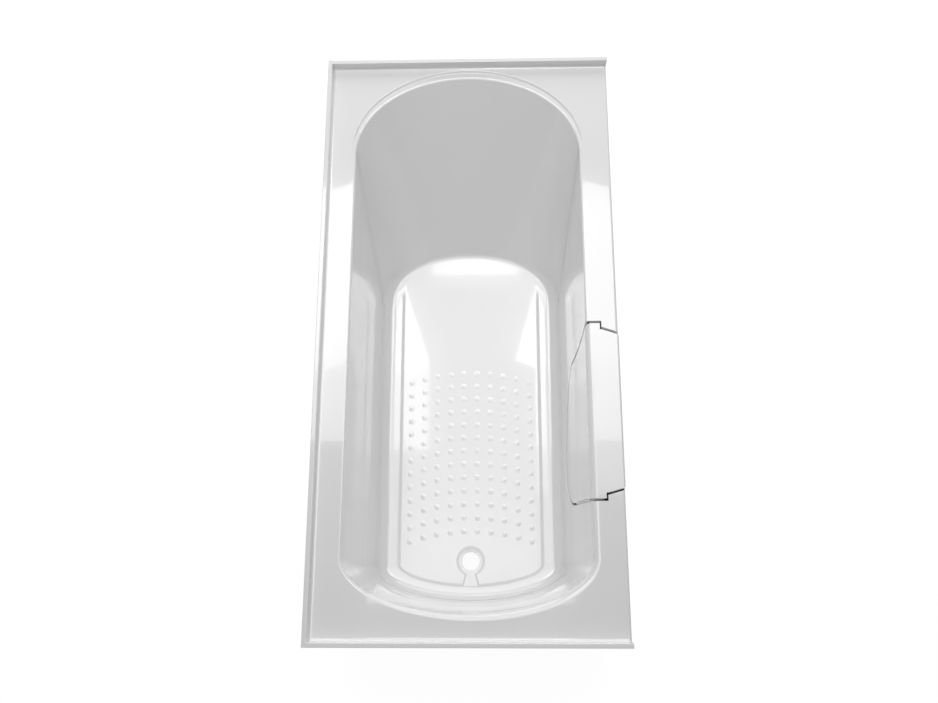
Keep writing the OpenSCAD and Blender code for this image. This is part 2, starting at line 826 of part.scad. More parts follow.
// The turning lever, upright while the door is free and level over the strike plate when it is latched
lever_w = 20;
lever_hub = 13;
thumb_w = 6;
thumb_l = 22;
thumb_gap = 4;
module latch_lever() {
  color(steel) centred() {
    at_latch(lever_y) linear_extrude(lever_t) difference() {
      union() {
        circle(r = lever_hub, $fn = 64);
        translate([-lever_w / 2, 0]) square([lever_w, lever_l - lever_w / 2]);
        translate([0, lever_l - lever_w / 2]) circle(r = lever_w / 2, $fn = 64);
      }
      circle(r = latch_pin_r + pin_gap, $fn = 32);
    }
    at_latch(lever_y - lever_t)
      translate([-thumb_w / 2, lever_l - thumb_l - thumb_gap, 0]) cube([thumb_w, thumb_l, thumb_h]);
  }
}

// The plate on the apron that the lever's tip reaches over when it is level
strike_l = 30;
strike_half = 14;
module strike_plate() {
  x0 = latch_px + lever_l - lever_w;
  color(steel) centred()
    bar([x0, -half_w - strike_t, latch_pz - strike_half], [x0 + strike_l, -half_w, latch_pz + strike_half]);
}

// A square tube along X, Y or Z between two corners, open at both ends
module box_tube(low, high, way) {
  hollow = [for (k = [0:2]) k == way ? -1 : tube_wall];
  difference() {
    bar(low, high);
    bar(low + hollow, high - hollow);
  }
}

module foot_holes(side) {
  for (x = foot_x)
    translate([x, side * rail_y, rail_low - 1])
      cylinder(r = stem_r + seat_gap, h = tube_wall + 2, $fn = 40);
}

module rail(side) {
  x1 = half_l - flange_t - seat_gap;
  y = side * rail_y;
  color(steel) centred() difference() {
    box_tube([-x1, y - tube / 2, rail_low], [x1, y + tube / 2, rail_top], 0);
    foot_holes(side);
  }
}

module rail_front() {
  rail(-1);
}

module rail_back() {
  rail(1);
}

module cross_member(k) {
  y1 = rail_y - tube / 2 - seat_gap;
  color(steel) centred()
    box_tube([cross_x[k] - tube / 2, -y1, rail_low], [cross_x[k] + tube / 2, y1, rail_top], 1);
}

module cross_member_1() {
  cross_member(0);
}

module cross_member_2() {
  cross_member(1);
}

module cross_member_3() {
  cross_member(2);
}

module cross_member_4() {
  cross_member(3);
}

module cross_member_5() {
  cross_member(4);
}

module post(x, y, high) {
  color(steel) centred()
    box_tube([x - tube / 2, y - tube / 2, rail_top + seat_gap], [x + tube / 2, y + tube / 2, high], 2);
}

module corner_post(x_side, y_side) {
  post(x_side * end_x, y_side * rail_y, top_rail_low - seat_gap);
}

module corner_post_1() {
  corner_post(-1, -1);
}

module corner_post_2() {
  corner_post(1, -1);
}

module corner_post_3() {
  corner_post(-1, 1);
}

module corner_post_4() {
  corner_post(1, 1);
}

// Ends of the doorway frame, where the front rails stop
frame_foot_end = hinge_x - frame_w;
frame_head_end = edge_centre[0] - (latch_edge_r - frame_w) * cos(latch_edge_lean);

module door_post_hinge() {
  post(frame_foot_end - seat_gap - tube / 2, -rail_y, top_rail_low - seat_gap);
}

module door_post_latch() {
  post(frame_head_end + seat_gap + tube / 2, -rail_y, top_rail_low - seat_gap);
}

module sill_post() {
  post(sill_centre[0], -rail_y, rim_height - door_depth - frame_w - seat_gap);
}

module top_rail_back() {
  x1 = half_l - flange_t - seat_gap;
  color(steel) centred()
    box_tube([-x1, rail_y - tube / 2, top_rail_low], [x1, rail_y + tube / 2, top_rail_top], 0);
}

module top_rail_end(side) {
  y1 = rail_y - tube / 2 - seat_gap;
  color(steel) centred()
    box_tube([side * end_x - tube / 2, -y1, top_rail_low], [side * end_x + tube / 2, y1, top_rail_top], 1);
}

module top_rail_head() {
  top_rail_end(1);
}

module top_rail_foot() {
  top_rail_end(-1);
}

module top_rail_front(x0, x1) {
  color(steel) centred()
    box_tube([x0, -rail_y - tube / 2, top_rail_low], [x1, tube / 2 - rail_y, top_rail_top], 0);
}

module top_rail_front_foot() {
  top_rail_front(flange_t + seat_gap - half_l, frame_foot_end - seat_gap);
}

module top_rail_front_head() {
  top_rail_front(frame_head_end + seat_gap, half_l - flange_t - seat_gap);
}

module at_foot(k) {
  translate([foot_x[k % 3], (k < 3 ? -1 : 1) * rail_y, 0]) children();
}

// Hexagon nuts welded under the rails, which the stems turn in
module foot_nuts() {
  color(steel) centred() for (k = [0:5]) at_foot(k) difference() {
    translate([0, 0, rail_low - nut_h]) cylinder(r = stem_r * 1.9, h = nut_h, $fn = 6);
    translate([0, 0, rail_low - nut_h - 1]) cylinder(r = stem_r + pin_gap, h = nut_h + 2, $fn = 40);
  }
}

module foot_stem(k) {
  color(steel) centred() at_foot(k) translate([0, 0, pad_t + seat_gap]) {
    cylinder(r = stem_r, h = rail_low + stem_reach - pad_t, $fn = 40);
    cylinder(r = stem_r * 1.6, h = 6, $fn = 6);
  }
}

module foot_pad(k) {
  color(rubber) centred() at_foot(k) rotate_extrude($fn = 64)
    polygon([[0, 0], [pad_r - 2, 0], [pad_r, 2], [pad_r, 5], [stem_r * 1.8, pad_t], [0, pad_t]]);
}

module foot_stem_1() {
  foot_stem(0);
}

module foot_stem_2() {
  foot_stem(1);
}

module foot_stem_3() {
  foot_stem(2);
}

module foot_stem_4() {
  foot_stem(3);
}

module foot_stem_5() {
  foot_stem(4);
}

module foot_stem_6() {
  foot_stem(5);
}

module foot_pad_1() {
  foot_pad(0);
}

module foot_pad_2() {
  foot_pad(1);
}

module foot_pad_3() {
  foot_pad(2);
}

module foot_pad_4() {
  foot_pad(3);
}

module foot_pad_5() {
  foot_pad(4);
}

module foot_pad_6() {
  foot_pad(5);
}

tub_shell();
base_board();
front_apron();
apron_brackets();
apron_screws();
door_frame();
door_seal();
hinge_frame_leaf();
hinge_pin();
strike_plate();
rail_front();
rail_back();
cross_member_1();
cross_member_2();
cross_member_3();
cross_member_4();
cross_member_5();
corner_post_1();
corner_post_2();
corner_post_3();
corner_post_4();
door_post_hinge();
door_post_latch();
sill_post();
top_rail_back();
top_rail_head();
top_rail_foot();
top_rail_front_foot();
top_rail_front_head();
foot_nuts();
door_panel();
door_front();
hinge_door_leaf();
latch_base();
latch_pivot();
latch_lever();
foot_stem_1();
foot_stem_2();
foot_stem_3();
foot_stem_4();
foot_stem_5();
foot_stem_6();
foot_pad_1();
foot_pad_2();
foot_pad_3();
foot_pad_4();
foot_pad_5();
foot_pad_6();
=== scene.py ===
"""A white alcove bath with an entry door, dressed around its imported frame. Sizes are in metres."""
import json
import math
from collections import namedtuple
from contextlib import contextmanager

import bpy
from mathutils import Matrix, Vector

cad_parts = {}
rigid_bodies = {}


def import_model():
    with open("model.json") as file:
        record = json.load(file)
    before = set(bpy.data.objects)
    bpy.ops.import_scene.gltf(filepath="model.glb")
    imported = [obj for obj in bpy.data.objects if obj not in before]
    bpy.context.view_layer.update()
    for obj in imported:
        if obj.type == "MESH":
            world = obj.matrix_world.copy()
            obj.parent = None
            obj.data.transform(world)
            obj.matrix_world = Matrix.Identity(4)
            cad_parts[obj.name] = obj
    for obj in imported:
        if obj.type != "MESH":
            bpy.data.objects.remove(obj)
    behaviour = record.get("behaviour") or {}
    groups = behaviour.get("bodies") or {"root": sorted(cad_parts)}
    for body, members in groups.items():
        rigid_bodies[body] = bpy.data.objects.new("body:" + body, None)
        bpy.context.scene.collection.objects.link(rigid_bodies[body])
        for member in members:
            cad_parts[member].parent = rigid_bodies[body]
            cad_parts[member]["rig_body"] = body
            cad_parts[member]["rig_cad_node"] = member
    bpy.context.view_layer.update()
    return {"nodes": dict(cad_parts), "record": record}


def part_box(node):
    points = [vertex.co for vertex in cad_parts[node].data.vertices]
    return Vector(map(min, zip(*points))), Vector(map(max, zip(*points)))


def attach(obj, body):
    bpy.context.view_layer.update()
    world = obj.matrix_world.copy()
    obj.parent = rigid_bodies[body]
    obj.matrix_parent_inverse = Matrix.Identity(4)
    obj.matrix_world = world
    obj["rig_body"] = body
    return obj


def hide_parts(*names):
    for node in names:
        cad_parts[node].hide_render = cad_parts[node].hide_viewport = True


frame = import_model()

nodes = frame["nodes"]

# Tub and deck: overall size, rims, widths of the deck, flange, front lip and crescent ledge
tub_length = 1.524
tub_width = 0.762
deck_z = 0.508
well_depth = 0.395
shell_t = 0.005
rim_r = 0.006
door_rim_r = 0.016
side_deck = 0.080
foot_deck = 0.072
head_deck = 0.038
flange_h = 0.025
flange_t = 0.011
flange_cove_r = 0.007
lip_h = 0.030
front_edge_r = 0.005
crescent_w = 0.011
crescent_drop = 0.0045

# Well and floor: rounded ends in plan, slopes, coves, gutter and raised panel
head_cap = 0.224
foot_cap = 0.130
wall_draft = 0.1
backrest_run = 0.379
foot_run = 0.010
floor_head_cap = 0.172
floor_foot_cap = 0.090
side_cove_r = 0.040
head_cove_r = 0.024
foot_cove_r = 0.036
floor_fall = 0.008
side_gutter = 0.023
foot_gutter = 0.005
panel_step = 0.004
panel_foot_cap = 0.056
floor_head_power = 2.15
panel_power = 1.85
panel_clear = 0.029
panel_head_cap = 0.100
gutter_end = 0.175
gutter_run = 0.070

# Drain: bore, recess and channel
drain_setback = 0.186
drain_r = 0.026
recess_floor_r = 0.0315
recess_brow_r = 0.0440
channel_narrow = 0.0100
channel_wide = 0.0190
slope_w = 0.0065

# How far the drain's tools start, stop and reach beside what they cut, and the bore's rounded edge
channel_start = 0.004
channel_stop = 0.0045
channel_over = 0.0006
channel_clear = 0.010
recess_over = 0.0004
recess_clear = 0.020
bore_depth = 0.030
bore_edge = ((0, -0.0014), (0.0006, -0.0004), (0.0014, 0))

# Grip dots, in rows from the head end to the drain end
dots_head_x = -0.028
dots_foot_x = -0.491
dot_rows = 13
dot_pairs = 5
dot_pitch = 0.0390
dot_r = 0.0098
dot_rise = 0.0009
dot_root = 0.0006
dot_sink = 0.00005
row_bow_r = 0.545

# Doorway: outline, step, seam and the hinge's relief
door_setback = 0.336
door_w = 0.443
door_depth = 0.292
sill_low_x = 0.118
sill_r = 0.395
hinge_corner_r = 0.080
latch_corner_r = 0.045
latch_edge_r = 0.500
latch_edge_lean = math.radians(31.2)
seam_gap = 0.0075
step_w = 0.014
plug_taper = 0.012
step_back = 0.041
hinge_drop = 0.024
hinge_l = 0.150
knuckle_r = 0.0034
knuckle_gap = 0.0005
axis_back = 0.001
relief_gap = 0.0006

# Reach of the doorway's tool over the deck, into the well and past the front
cut_above = 0.060
cut_inside = 0.120
cut_outside = 0.030

# Shares of the sill's arc and of the latch edge that are left out next to the corners
corner_hem = 0.04
edge_hem = 0.05

# Dark rubber strip in the outer part of the seam, beside the hinge: partly a seal, partly painted shade
# that darkens the seam
strip_w = 0.0045
strip_depth = 0.0015
strip_l = 0.050
strip_clear = 0.0001
strip_front = 0.0012

# Reach of the box that keeps only this part of the strip
keeper_reach = 0.1
keeper_past_hinge = 0.06

# Places that follow from these, measured from the middle of the tub
half_l = tub_length / 2
half_w = tub_width / 2
basin_half = half_w - side_deck
basin_foot = foot_deck - half_l
basin_head = half_l - head_deck
rim_foot_x = basin_foot + foot_cap
rim_head_x = basin_head - head_cap
floor_half = basin_half - wall_draft * well_depth
floor_foot = basin_foot + foot_run
floor_head = basin_head - backrest_run
floor_foot_x = floor_foot + floor_foot_cap
floor_head_x = floor_head - floor_head_cap
hinge_x = door_setback - half_l
latch_edge_x = hinge_x + door_w
drain_x = drain_setback - half_l
step_y = step_back - half_w
inner_y = side_deck - half_w

# The latch overhangs the front, so the tub's middle lies behind the middle of the box
shell_low, shell_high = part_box("tub_shell")
middle_y = (shell_low.y + shell_high.y) / 2

# Levelling feet and their threads
foot_count = 6
thread_pitch = 0.00175
thread_depth = 0.0006
thread_hem = 0.0015
rings_per_pitch = 5
thread_around = 24

# Camera, fitted to the corners of the deck: place over the deck, view direction and lens
camera_x, camera_y, camera_above_deck = -0.5432, -0.0510, 1.9625
camera_right = Vector((0.00004, -0.99972, -0.02366))
camera_up = Vector((0.97081, -0.00564, 0.23980))
photo_width = 938
focal_pixels = 801.5
sensor_width = 36.0

# Soft lamps over the bath: inner corner, turn in degrees, reach along and across, lift, radiance;
# and beside it: place over the deck, width and height, radiance
lamp_height = 2.6
lamps = (
    ("back panel", (0.66, 0.345), 18.0, (1.09, 0.70), 0.0, 3.1),
    ("back panel near edge", (0.06, 0.345), 0.0, (0.60, 0.70), 0.0, 1.8),
    ("front panel", (0.66, -0.238), -16.0, (1.08, -0.72), 0.0, 2.8),
    ("front panel near edge", (0.06, -0.400), 0.0, (0.60, -0.56), 0.0, 2.5),
    ("front panel dim end", (-0.24, -0.400), 0.0, (0.30, -0.56), 0.0, 1.1),
    ("ceiling", (-0.83, -0.52), 0.0, (2.53, 1.14), 0.02, 1.7),
    ("head end of the ceiling", (1.22, -0.30), 0.0, (0.44, 0.66), 0.04, 0.5),
    ("bright end of the ceiling", (1.30, -0.27), 0.0, (0.36, 0.60), 0.06, 2.0),
)
side_lamp = ("head side", (2.7, 0.0, 1.0), (2.2, 1.7), 2.4)
world_level = 0.28
floor_size = 24.0
floor_drop = 0.0005


# Selection and edit helpers

def only(*objects):
    """Selects just these objects and makes the first one active."""
    bpy.ops.object.select_all(action="DESELECT")
    for item in objects:
        item.select_set(True)
    bpy.context.view_layer.objects.active = objects[0]


def clear_selection():
    """Deselects everything before a primitive is added."""
    only(nodes["tub_shell"])
    bpy.ops.object.select_all(action="DESELECT")


def named(name):
    """Gives the object that was just added its name."""
    piece = bpy.context.active_object
    piece.name = name
    piece.data.name = name
    return piece


def settle(piece):
    """Moves an object's place and size into its mesh, so that it sits at the origin."""
    only(piece)
    bpy.ops.object.transform_apply(location=True, rotation=True, scale=True)


def finish_modifiers(piece):
    """Applies a piece's modifiers in order."""
    only(piece)
    for modifier in list(piece.modifiers):
        bpy.ops.object.modifier_apply(modifier=modifier.name)


@contextmanager
def editing(piece):
    """Edit mode on one piece, with everything in it selected at the start."""
    only(piece)
    bpy.ops.object.mode_set(mode="EDIT")
    bpy.ops.mesh.select_all(action="SELECT")
    yield
    bpy.ops.object.mode_set(mode="OBJECT")


def weld(piece):
    """Merges doubled points and turns every face outwards."""
    with editing(piece):
        bpy.ops.mesh.remove_doubles(threshold=0.000002)
        bpy.ops.mesh.normals_make_consistent(inside=False)


def smooth(piece, degrees=30):
    """Smooth shading with crisp edges, where flat faces stay flat."""
    only(piece)
    bpy.ops.object.shade_smooth_by_angle(angle=math.radians(degrees))
    weighted = piece.modifiers.new("even normals", "WEIGHTED_NORMAL")
    weighted.weight = 100
    weighted.keep_sharp = True
    finish_modifiers(piece)


def soften(piece, width, segments):
    """Rounds the sharp edges of a piece."""
    bevel = piece.modifiers.new("soft edges", "BEVEL")
    bevel.width = width
    bevel.segments = segments
    bevel.limit_method = "ANGLE"
    bevel.angle_limit = math.radians(40)
    finish_modifiers(piece)


def combine(piece, tool, way):
    """Joins a closed tool to a piece, cuts it away, or keeps what both share."""
    change = piece.modifiers.new(way.lower(), "BOOLEAN")
    change.operation = way
    change.solver = "EXACT"
    change.object = tool
    finish_modifiers(piece)
    bpy.data.objects.remove(tool)


def loft(name, rings):
    """A skin through rings of equal length. A ring shrunk to a point closes an end."""
    clear_selection()
    around = len(rings[0])
    bpy.ops.mesh.primitive_grid_add(x_subdivisions=around, y_subdivisions=len(rings) - 1)
    piece = named(name)
    for row, ring in enumerate(rings):
        for column in range(around + 1):
            piece.data.vertices[row * (around + 1) + column].co = ring[column % around]
    return piece


def capped_loft(name, rings):
    """A closed skin through rings, with a flat face at each end."""
    piece = loft(name, rings)
    weld(piece)
    with editing(piece):
        bpy.ops.mesh.select_all(action="DESELECT")
        bpy.ops.mesh.select_non_manifold()
        bpy.ops.mesh.edge_face_add()
        bpy.ops.mesh.select_all(action="SELECT")
        bpy.ops.mesh.normals_make_consistent(inside=False)
    return piece


def prism(name, points, shift):
    """A closed outline drawn in space and extruded by a vector."""
    clear_selection()
    bpy.ops.mesh.primitive_circle_add(vertices=len(points), fill_type="NGON")
    piece = named(name)
    for vertex, point in zip(piece.data.vertices, points):
        vertex.co = point
    with editing(piece):
        bpy.ops.mesh.extrude_region_move(TRANSFORM_OT_translate={"value": shift})
        bpy.ops.mesh.select_all(action="SELECT")
        bpy.ops.mesh.normals_make_consistent(inside=False)
    return piece


def turned(name, profile, steps=96):
    """A closed solid of revolution about Z, from a profile of radius and height."""
    clear_selection()
    bpy.ops.mesh.primitive_circle_add(vertices=len(profile), fill_type="NOTHING")
    piece = named(name)
    for vertex, (radius, height) in zip(piece.data.vertices, profile):
        vertex.co = (radius, 0, height)
    with editing(piece):
        bpy.ops.mesh.spin(steps=steps, angle=math.tau, center=(0, 0, 0), axis=(0, 0, 1))
    weld(piece)
    return piece


def rounded_copy(node, name, edge, segments=2):
    """A welded copy of a CAD node with softened edges, which stands for that node."""
    only(nodes[node])
    bpy.ops.object.duplicate()
    piece = named(name)
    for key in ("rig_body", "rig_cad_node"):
        if key in piece:
            del piece[key]
    piece.parent = None
    with editing(piece):
        bpy.ops.mesh.remove_doubles(threshold=0.00002)
        bpy.ops.mesh.dissolve_limited(angle_limit=math.radians(0.4))
    soften(piece, edge, segments)
    smooth(piece, degrees=32)
    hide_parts(node)
    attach(piece, nodes[node]["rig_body"])
    return piece


def dress(piece, *materials):
    """Gives a piece its materials, in the order of its slots."""
    piece.data.materials.clear()
    for material in materials:
        piece.data.materials.append(material)


# Materials

def new_material(name):
    """A material with a Principled shader; returns it with its nodes, links and shader."""
    material = bpy.data.materials.new(name)
    material.use_nodes = True
    tree = material.node_tree
    return material, tree.nodes, tree.links, tree.nodes["Principled BSDF"]


def set_inputs(node, values):
    """Sets a node's inputs, by name or number."""
    for key, value in values.items():
        node.inputs[key].default_value = value


def object_place(made):
    """Object coordinates."""
    return made.new("ShaderNodeTexCoord").outputs["Object"]


def stretched_place(made, links, scale):
    """Object coordinates stretched along the axes."""
    stretch = made.new("ShaderNodeVectorMath")
    stretch.operation = "MULTIPLY"
    set_inputs(stretch, {1: scale})
    links.new(object_place(made), stretch.inputs[0])
    return stretch.outputs["Vector"]


def noise(made, links, spot, scale, detail=2.0):
    """A noise texture at a place."""
    texture = made.new("ShaderNodeTexNoise")
    set_inputs(texture, {"Scale": scale, "Detail": detail})
    links.new(spot, texture.inputs["Vector"])
    return texture


def two_tones(made, links, value, low, high, start=0.3, end=0.7):
    """A colour between two tones, picked by a value."""
    tone = made.new("ShaderNodeValToRGB")
    tone.color_ramp.elements[0].color = (*low, 1)
    tone.color_ramp.elements[1].color = (*high, 1)
    tone.color_ramp.elements[0].position = start
    tone.color_ramp.elements[1].position = end
    links.new(value, tone.inputs["Fac"])
    return tone.outputs["Color"]


def spread(made, links, value, low, high):
    """A value from 0 to 1 brought between two others."""
    span = made.new("ShaderNodeMapRange")
    set_inputs(span, {"To Min": low, "To Max": high})
    links.new(value, span.inputs["Value"])
    return span.outputs["Result"]


def bumped(made, links, height, strength, distance):
    """A bump node that raises the surface by a height."""
    bump = made.new("ShaderNodeBump")
    set_inputs(bump, {"Strength": strength, "Distance": distance})
    links.new(height, bump.inputs["Height"])
    return bump


def maths(made, links, operation, *values):
    """The result of a calculation on sockets and plain numbers."""
    node = made.new("ShaderNodeMath")
    node.operation = operation
    for slot, value in zip(node.inputs, values):
        if isinstance(value, float):
            slot.default_value = value
        else:
            links.new(value, slot)
    return node.outputs["Value"]


def mixed(made, links, share, first, second):
    """Two shaders mixed by the share of the second."""
    node = made.new("ShaderNodeMixShader")
    for slot, value in zip(node.inputs, (share, first, second)):
        links.new(value, slot)
    return node.outputs["Shader"]


def upright_part(made, links):
    """How far a face's true normal points up."""
    face = made.new("ShaderNodeNewGeometry")
    parts = made.new("ShaderNodeSeparateXYZ")
    links.new(face.outputs["True Normal"], parts.inputs["Vector"])
    return parts.outputs["Z"]


def gel_ripple_group():
    """Shallow ripples of a moulded acrylic sheet, with long flutes on its walls and a fine grain."""
    group = bpy.data.node_groups.new("gel ripple", "ShaderNodeTree")
    group.interface.new_socket("Normal", in_out="OUTPUT", socket_type="NodeSocketVector")
    group.interface.new_socket("Dust", in_out="OUTPUT", socket_type="NodeSocketFloat")
    made = group.nodes
    links = group.links
    outputs = made.new("NodeGroupOutput")
    place = object_place(made)
    dust = noise(made, links, place, scale=3.0, detail=5.0)
    flutes = noise(made, links, stretched_place(made, links, (0.9, 2.0, 13.0)), scale=1.0, detail=1.0)
    flute_bump = bumped(made, links, flutes.outputs["Fac"], strength=1.0, distance=0.0012)
    steep = made.new("ShaderNodeMapRange")
    set_inputs(steep, {"From Min": 0.75, "From Max": 0.25})
    links.new(upright_part(made, links), steep.inputs["Value"])
    links.new(steep.outputs["Result"], flute_bump.inputs["Strength"])
    ripple = noise(made, links, place, scale=7.0, detail=1.0)
    long_bump = bumped(made, links, ripple.outputs["Fac"], strength=0.10, distance=0.004)
    grain = noise(made, links, place, scale=420.0)
    fine_bump = bumped(made, links, grain.outputs["Fac"], strength=0.12, distance=0.0001)
    links.new(flute_bump.outputs["Normal"], long_bump.inputs["Normal"])
    links.new(long_bump.outputs["Normal"], fine_bump.inputs["Normal"])
    links.new(fine_bump.outputs["Normal"], outputs.inputs["Normal"])
    links.new(dust.outputs["Fac"], outputs.inputs["Dust"])
    return group


gel_ripple = gel_ripple_group()


def acrylic(name, low, high, roughness, coat):
    """Glossy moulded acrylic: a tone that drifts a little, with a rippled surface."""
    material, made, links, shader = new_material(name)
    surface = made.new("ShaderNodeGroup")
    surface.node_tree = gel_ripple
    dust = surface.outputs["Dust"]
    links.new(two_tones(made, links, dust, low, high), shader.inputs["Base Color"])
    links.new(spread(made, links, dust, roughness * 0.8, roughness * 1.25), shader.inputs["Roughness"])
    links.new(surface.outputs["Normal"], shader.inputs["Normal"])
    set_inputs(shader, {"IOR": 1.6, "Coat Weight": coat, "Coat Roughness": 0.03, "Coat IOR": 1.62})
    return material


def glass_fibre():
    """Rough backing of chopped strands in resin, under the moulded skin."""
    material, made, links, shader = new_material("glass fibre backing")
    place = object_place(made)
    clouds = noise(made, links, place, scale=9.0, detail=4.0)
    bent = made.new("ShaderNodeVectorMath")
    bent.operation = "ADD"
    links.new(place, bent.inputs[0])
    links.new(clouds.outputs["Color"], bent.inputs[1])
    strands = made.new("ShaderNodeTexVoronoi")
    strands.feature = "DISTANCE_TO_EDGE"
    set_inputs(strands, {"Scale": 70.0})
    links.new(bent.outputs["Vector"], strands.inputs["Vector"])
    tone = two_tones(made, links, clouds.outputs["Fac"], (0.56, 0.54, 0.46), (0.74, 0.73, 0.67), 0.25, 0.75)
    bump = bumped(made, links, strands.outputs["Distance"], strength=0.6, distance=0.001)
    links.new(tone, shader.inputs["Base Color"])
    links.new(bump.outputs["Normal"], shader.inputs["Normal"])
    set_inputs(shader, {"Roughness": 0.72})
    return material


def brushed_metal(name, low, high, roughness, scale, bump_depth=0.00004):
    """Metal with fine lines in its colour, roughness and surface."""
    material, made, links, shader = new_material(name)
    lines = noise(made, links, stretched_place(made, links, scale), scale=1.0, detail=5.0).outputs["Fac"]
    bump = bumped(made, links, lines, strength=0.5, distance=bump_depth)
    links.new(two_tones(made, links, lines, low, high), shader.inputs["Base Color"])
    links.new(spread(made, links, lines, roughness * 0.75, roughness * 1.35), shader.inputs["Roughness"])
    links.new(bump.outputs["Normal"], shader.inputs["Normal"])
    set_inputs(shader, {"Metallic": 1.0})
    return material


def galvanised_steel():
    """Zinc-coated tube with its spangle."""
    material, made, links, shader = new_material("galvanised steel")
    place = object_place(made)
    flakes = made.new("ShaderNodeTexVoronoi")
    set_inputs(flakes, {"Scale": 95.0})
    links.new(place, flakes.inputs["Vector"])
    haze = noise(made, links, place, scale=14.0, detail=4.0).outputs["Fac"]
    half_haze = maths(made, links, "MULTIPLY", haze, 0.5)
    mottle = maths(made, links, "MULTIPLY_ADD", flakes.outputs["Color"], 0.5, half_haze)
    tone = two_tones(made, links, mottle, (0.40, 0.41, 0.43), (0.60, 0.61, 0.63), 0.2, 0.9)
    bump = bumped(made, links, haze, strength=0.25, distance=0.0002)
    links.new(tone, shader.inputs["Base Color"])
    links.new(spread(made, links, mottle, 0.30, 0.52), shader.inputs["Roughness"])
    links.new(bump.outputs["Normal"], shader.inputs["Normal"])
    set_inputs(shader, {"Metallic": 0.9})
    return material


def plywood():
    """A birch board: long grain on the faces and thin layers on the edges."""
    material, made, links, shader = new_material("birch board")
    grain = noise(made, links, stretched_place(made, links, (4, 60, 60)), scale=1.0, detail=6.0)
    set_inputs(grain, {"Distortion": 0.4})
    layers = made.new("ShaderNodeTexWave")
    layers.wave_type = "BANDS"
    layers.bands_direction = "Z"
    set_inputs(layers, {"Scale": 95.0, "Distortion": 0.6})
    links.new(object_place(made), layers.inputs["Vector"])
    face_tone = two_tones(made, links, grain.outputs["Fac"], (0.46, 0.31, 0.17), (0.66, 0.49, 0.31))
    edge_tone = two_tones(
        made, links, layers.outputs["Fac"], (0.30, 0.19, 0.10), (0.62, 0.46, 0.29), 0.35, 0.65)
    blend = made.new("ShaderNodeMix")
    blend.data_type = "RGBA"
    links.new(maths(made, links, "ABSOLUTE", upright_part(made, links)), blend.inputs["Factor"])
    links.new(edge_tone, blend.inputs["A"])
    links.new(face_tone, blend.inputs["B"])
    bump = bumped(made, links, grain.outputs["Fac"], strength=0.4, distance=0.0003)
    links.new(blend.outputs["Result"], shader.inputs["Base Color"])
    links.new(bump.outputs["Normal"], shader.inputs["Normal"])
    set_inputs(shader, {"Roughness": 0.62})
    return material


def rubber(name, low, high):
    """Matt rubber with a fine grain and a little bloom."""
    material, made, links, shader = new_material(name)
    place = object_place(made)
    bloom = noise(made, links, place, scale=40.0, detail=4.0)
    grain = noise(made, links, place, scale=900.0)
    bump = bumped(made, links, grain.outputs["Fac"], strength=0.5, distance=0.00015)
    links.new(two_tones(made, links, bloom.outputs["Fac"], low, high), shader.inputs["Base Color"])
    links.new(bump.outputs["Normal"], shader.inputs["Normal"])
    set_inputs(shader, {"Roughness": 0.62})
    return material


white_gel = acrylic("white gel", (0.90, 0.90, 0.90), (0.92, 0.92, 0.92), roughness=0.14, coat=1.0)
# The door frame's jambs and sill get a near-black gel: this tone is painted shade for the dark seam round
# the door
seam_shade_frame_gel = acrylic(
    "door frame gel with painted seam shade", (0.070, 0.070, 0.072), (0.095, 0.095, 0.098), roughness=0.35, coat=0.3)
backing = glass_fibre()
polished_steel = brushed_metal(
    "polished steel", (0.72, 0.72, 0.73), (0.82, 0.82, 0.82), 0.12, (60, 60, 60), bump_depth=0.00001)
brushed_steel = brushed_metal("brushed steel", (0.60, 0.60, 0.61), (0.76, 0.76, 0.76), 0.26, (900, 900, 12))
zinc_plate = brushed_metal("zinc plate", (0.52, 0.54, 0.56), (0.68, 0.70, 0.72), 0.30, (120, 120, 120))
tube_steel = galvanised_steel()
seal_rubber = rubber("seal rubber", (0.018, 0.018, 0.019), (0.034, 0.034, 0.035))
pad_rubber = rubber("pad rubber", (0.026, 0.026, 0.028), (0.050, 0.050, 0.052))
board_ply = plywood()


# Studio

def floor_material():
    """A pale floor that stays white to the camera, keeps the bath's shadow and is clear from below."""
    material, made, links, shader = new_material("studio floor")
    set_inputs(shader, {"Base Color": (0.9, 0.9, 0.9, 1), "Roughness": 0.9})
    glow = made.new("ShaderNodeEmission")
    set_inputs(glow, {"Color": (1, 1, 1, 1), "Strength": 1.1})
    seen = made.new("ShaderNodeLightPath").outputs["Is Camera Ray"]
    share = maths(made, links, "MULTIPLY", seen, 0.86)
    lit = mixed(made, links, share, shader.outputs["BSDF"], glow.outputs["Emission"])
    clear = made.new("ShaderNodeBsdfTransparent")
    from_below = made.new("ShaderNodeNewGeometry").outputs["Backfacing"]
    both_sides = mixed(made, links, from_below, lit, clear.outputs["BSDF"])
    links.new(both_sides, made["Material Output"].inputs["Surface"])
    return material


def build_floor():
    """The studio's floor."""
    clear_selection()
    bpy.ops.mesh.primitive_plane_add(size=floor_size, location=(0, 0, -floor_drop))
    floor = named("studio_floor")
    settle(floor)
    dress(floor, floor_material())


def build_world():
    """An even pale world that looks white to the camera."""
    world = bpy.data.worlds.new("studio")
    bpy.context.scene.world = world
    world.use_nodes = True
    made = world.node_tree.nodes
    links = world.node_tree.links
    light = made["Background"]
    set_inputs(light, {"Color": (1, 1, 1, 1), "Strength": world_level})
    white = made.new("ShaderNodeBackground")
    set_inputs(white, {"Color": (1, 1, 1, 1), "Strength": 1.0})
    seen = made.new("ShaderNodeLightPath").outputs["Is Camera Ray"]
    both = mixed(made, links, seen, light.outputs["Background"], white.outputs["Background"])
    links.new(both, made["World Output"].inputs["Surface"])


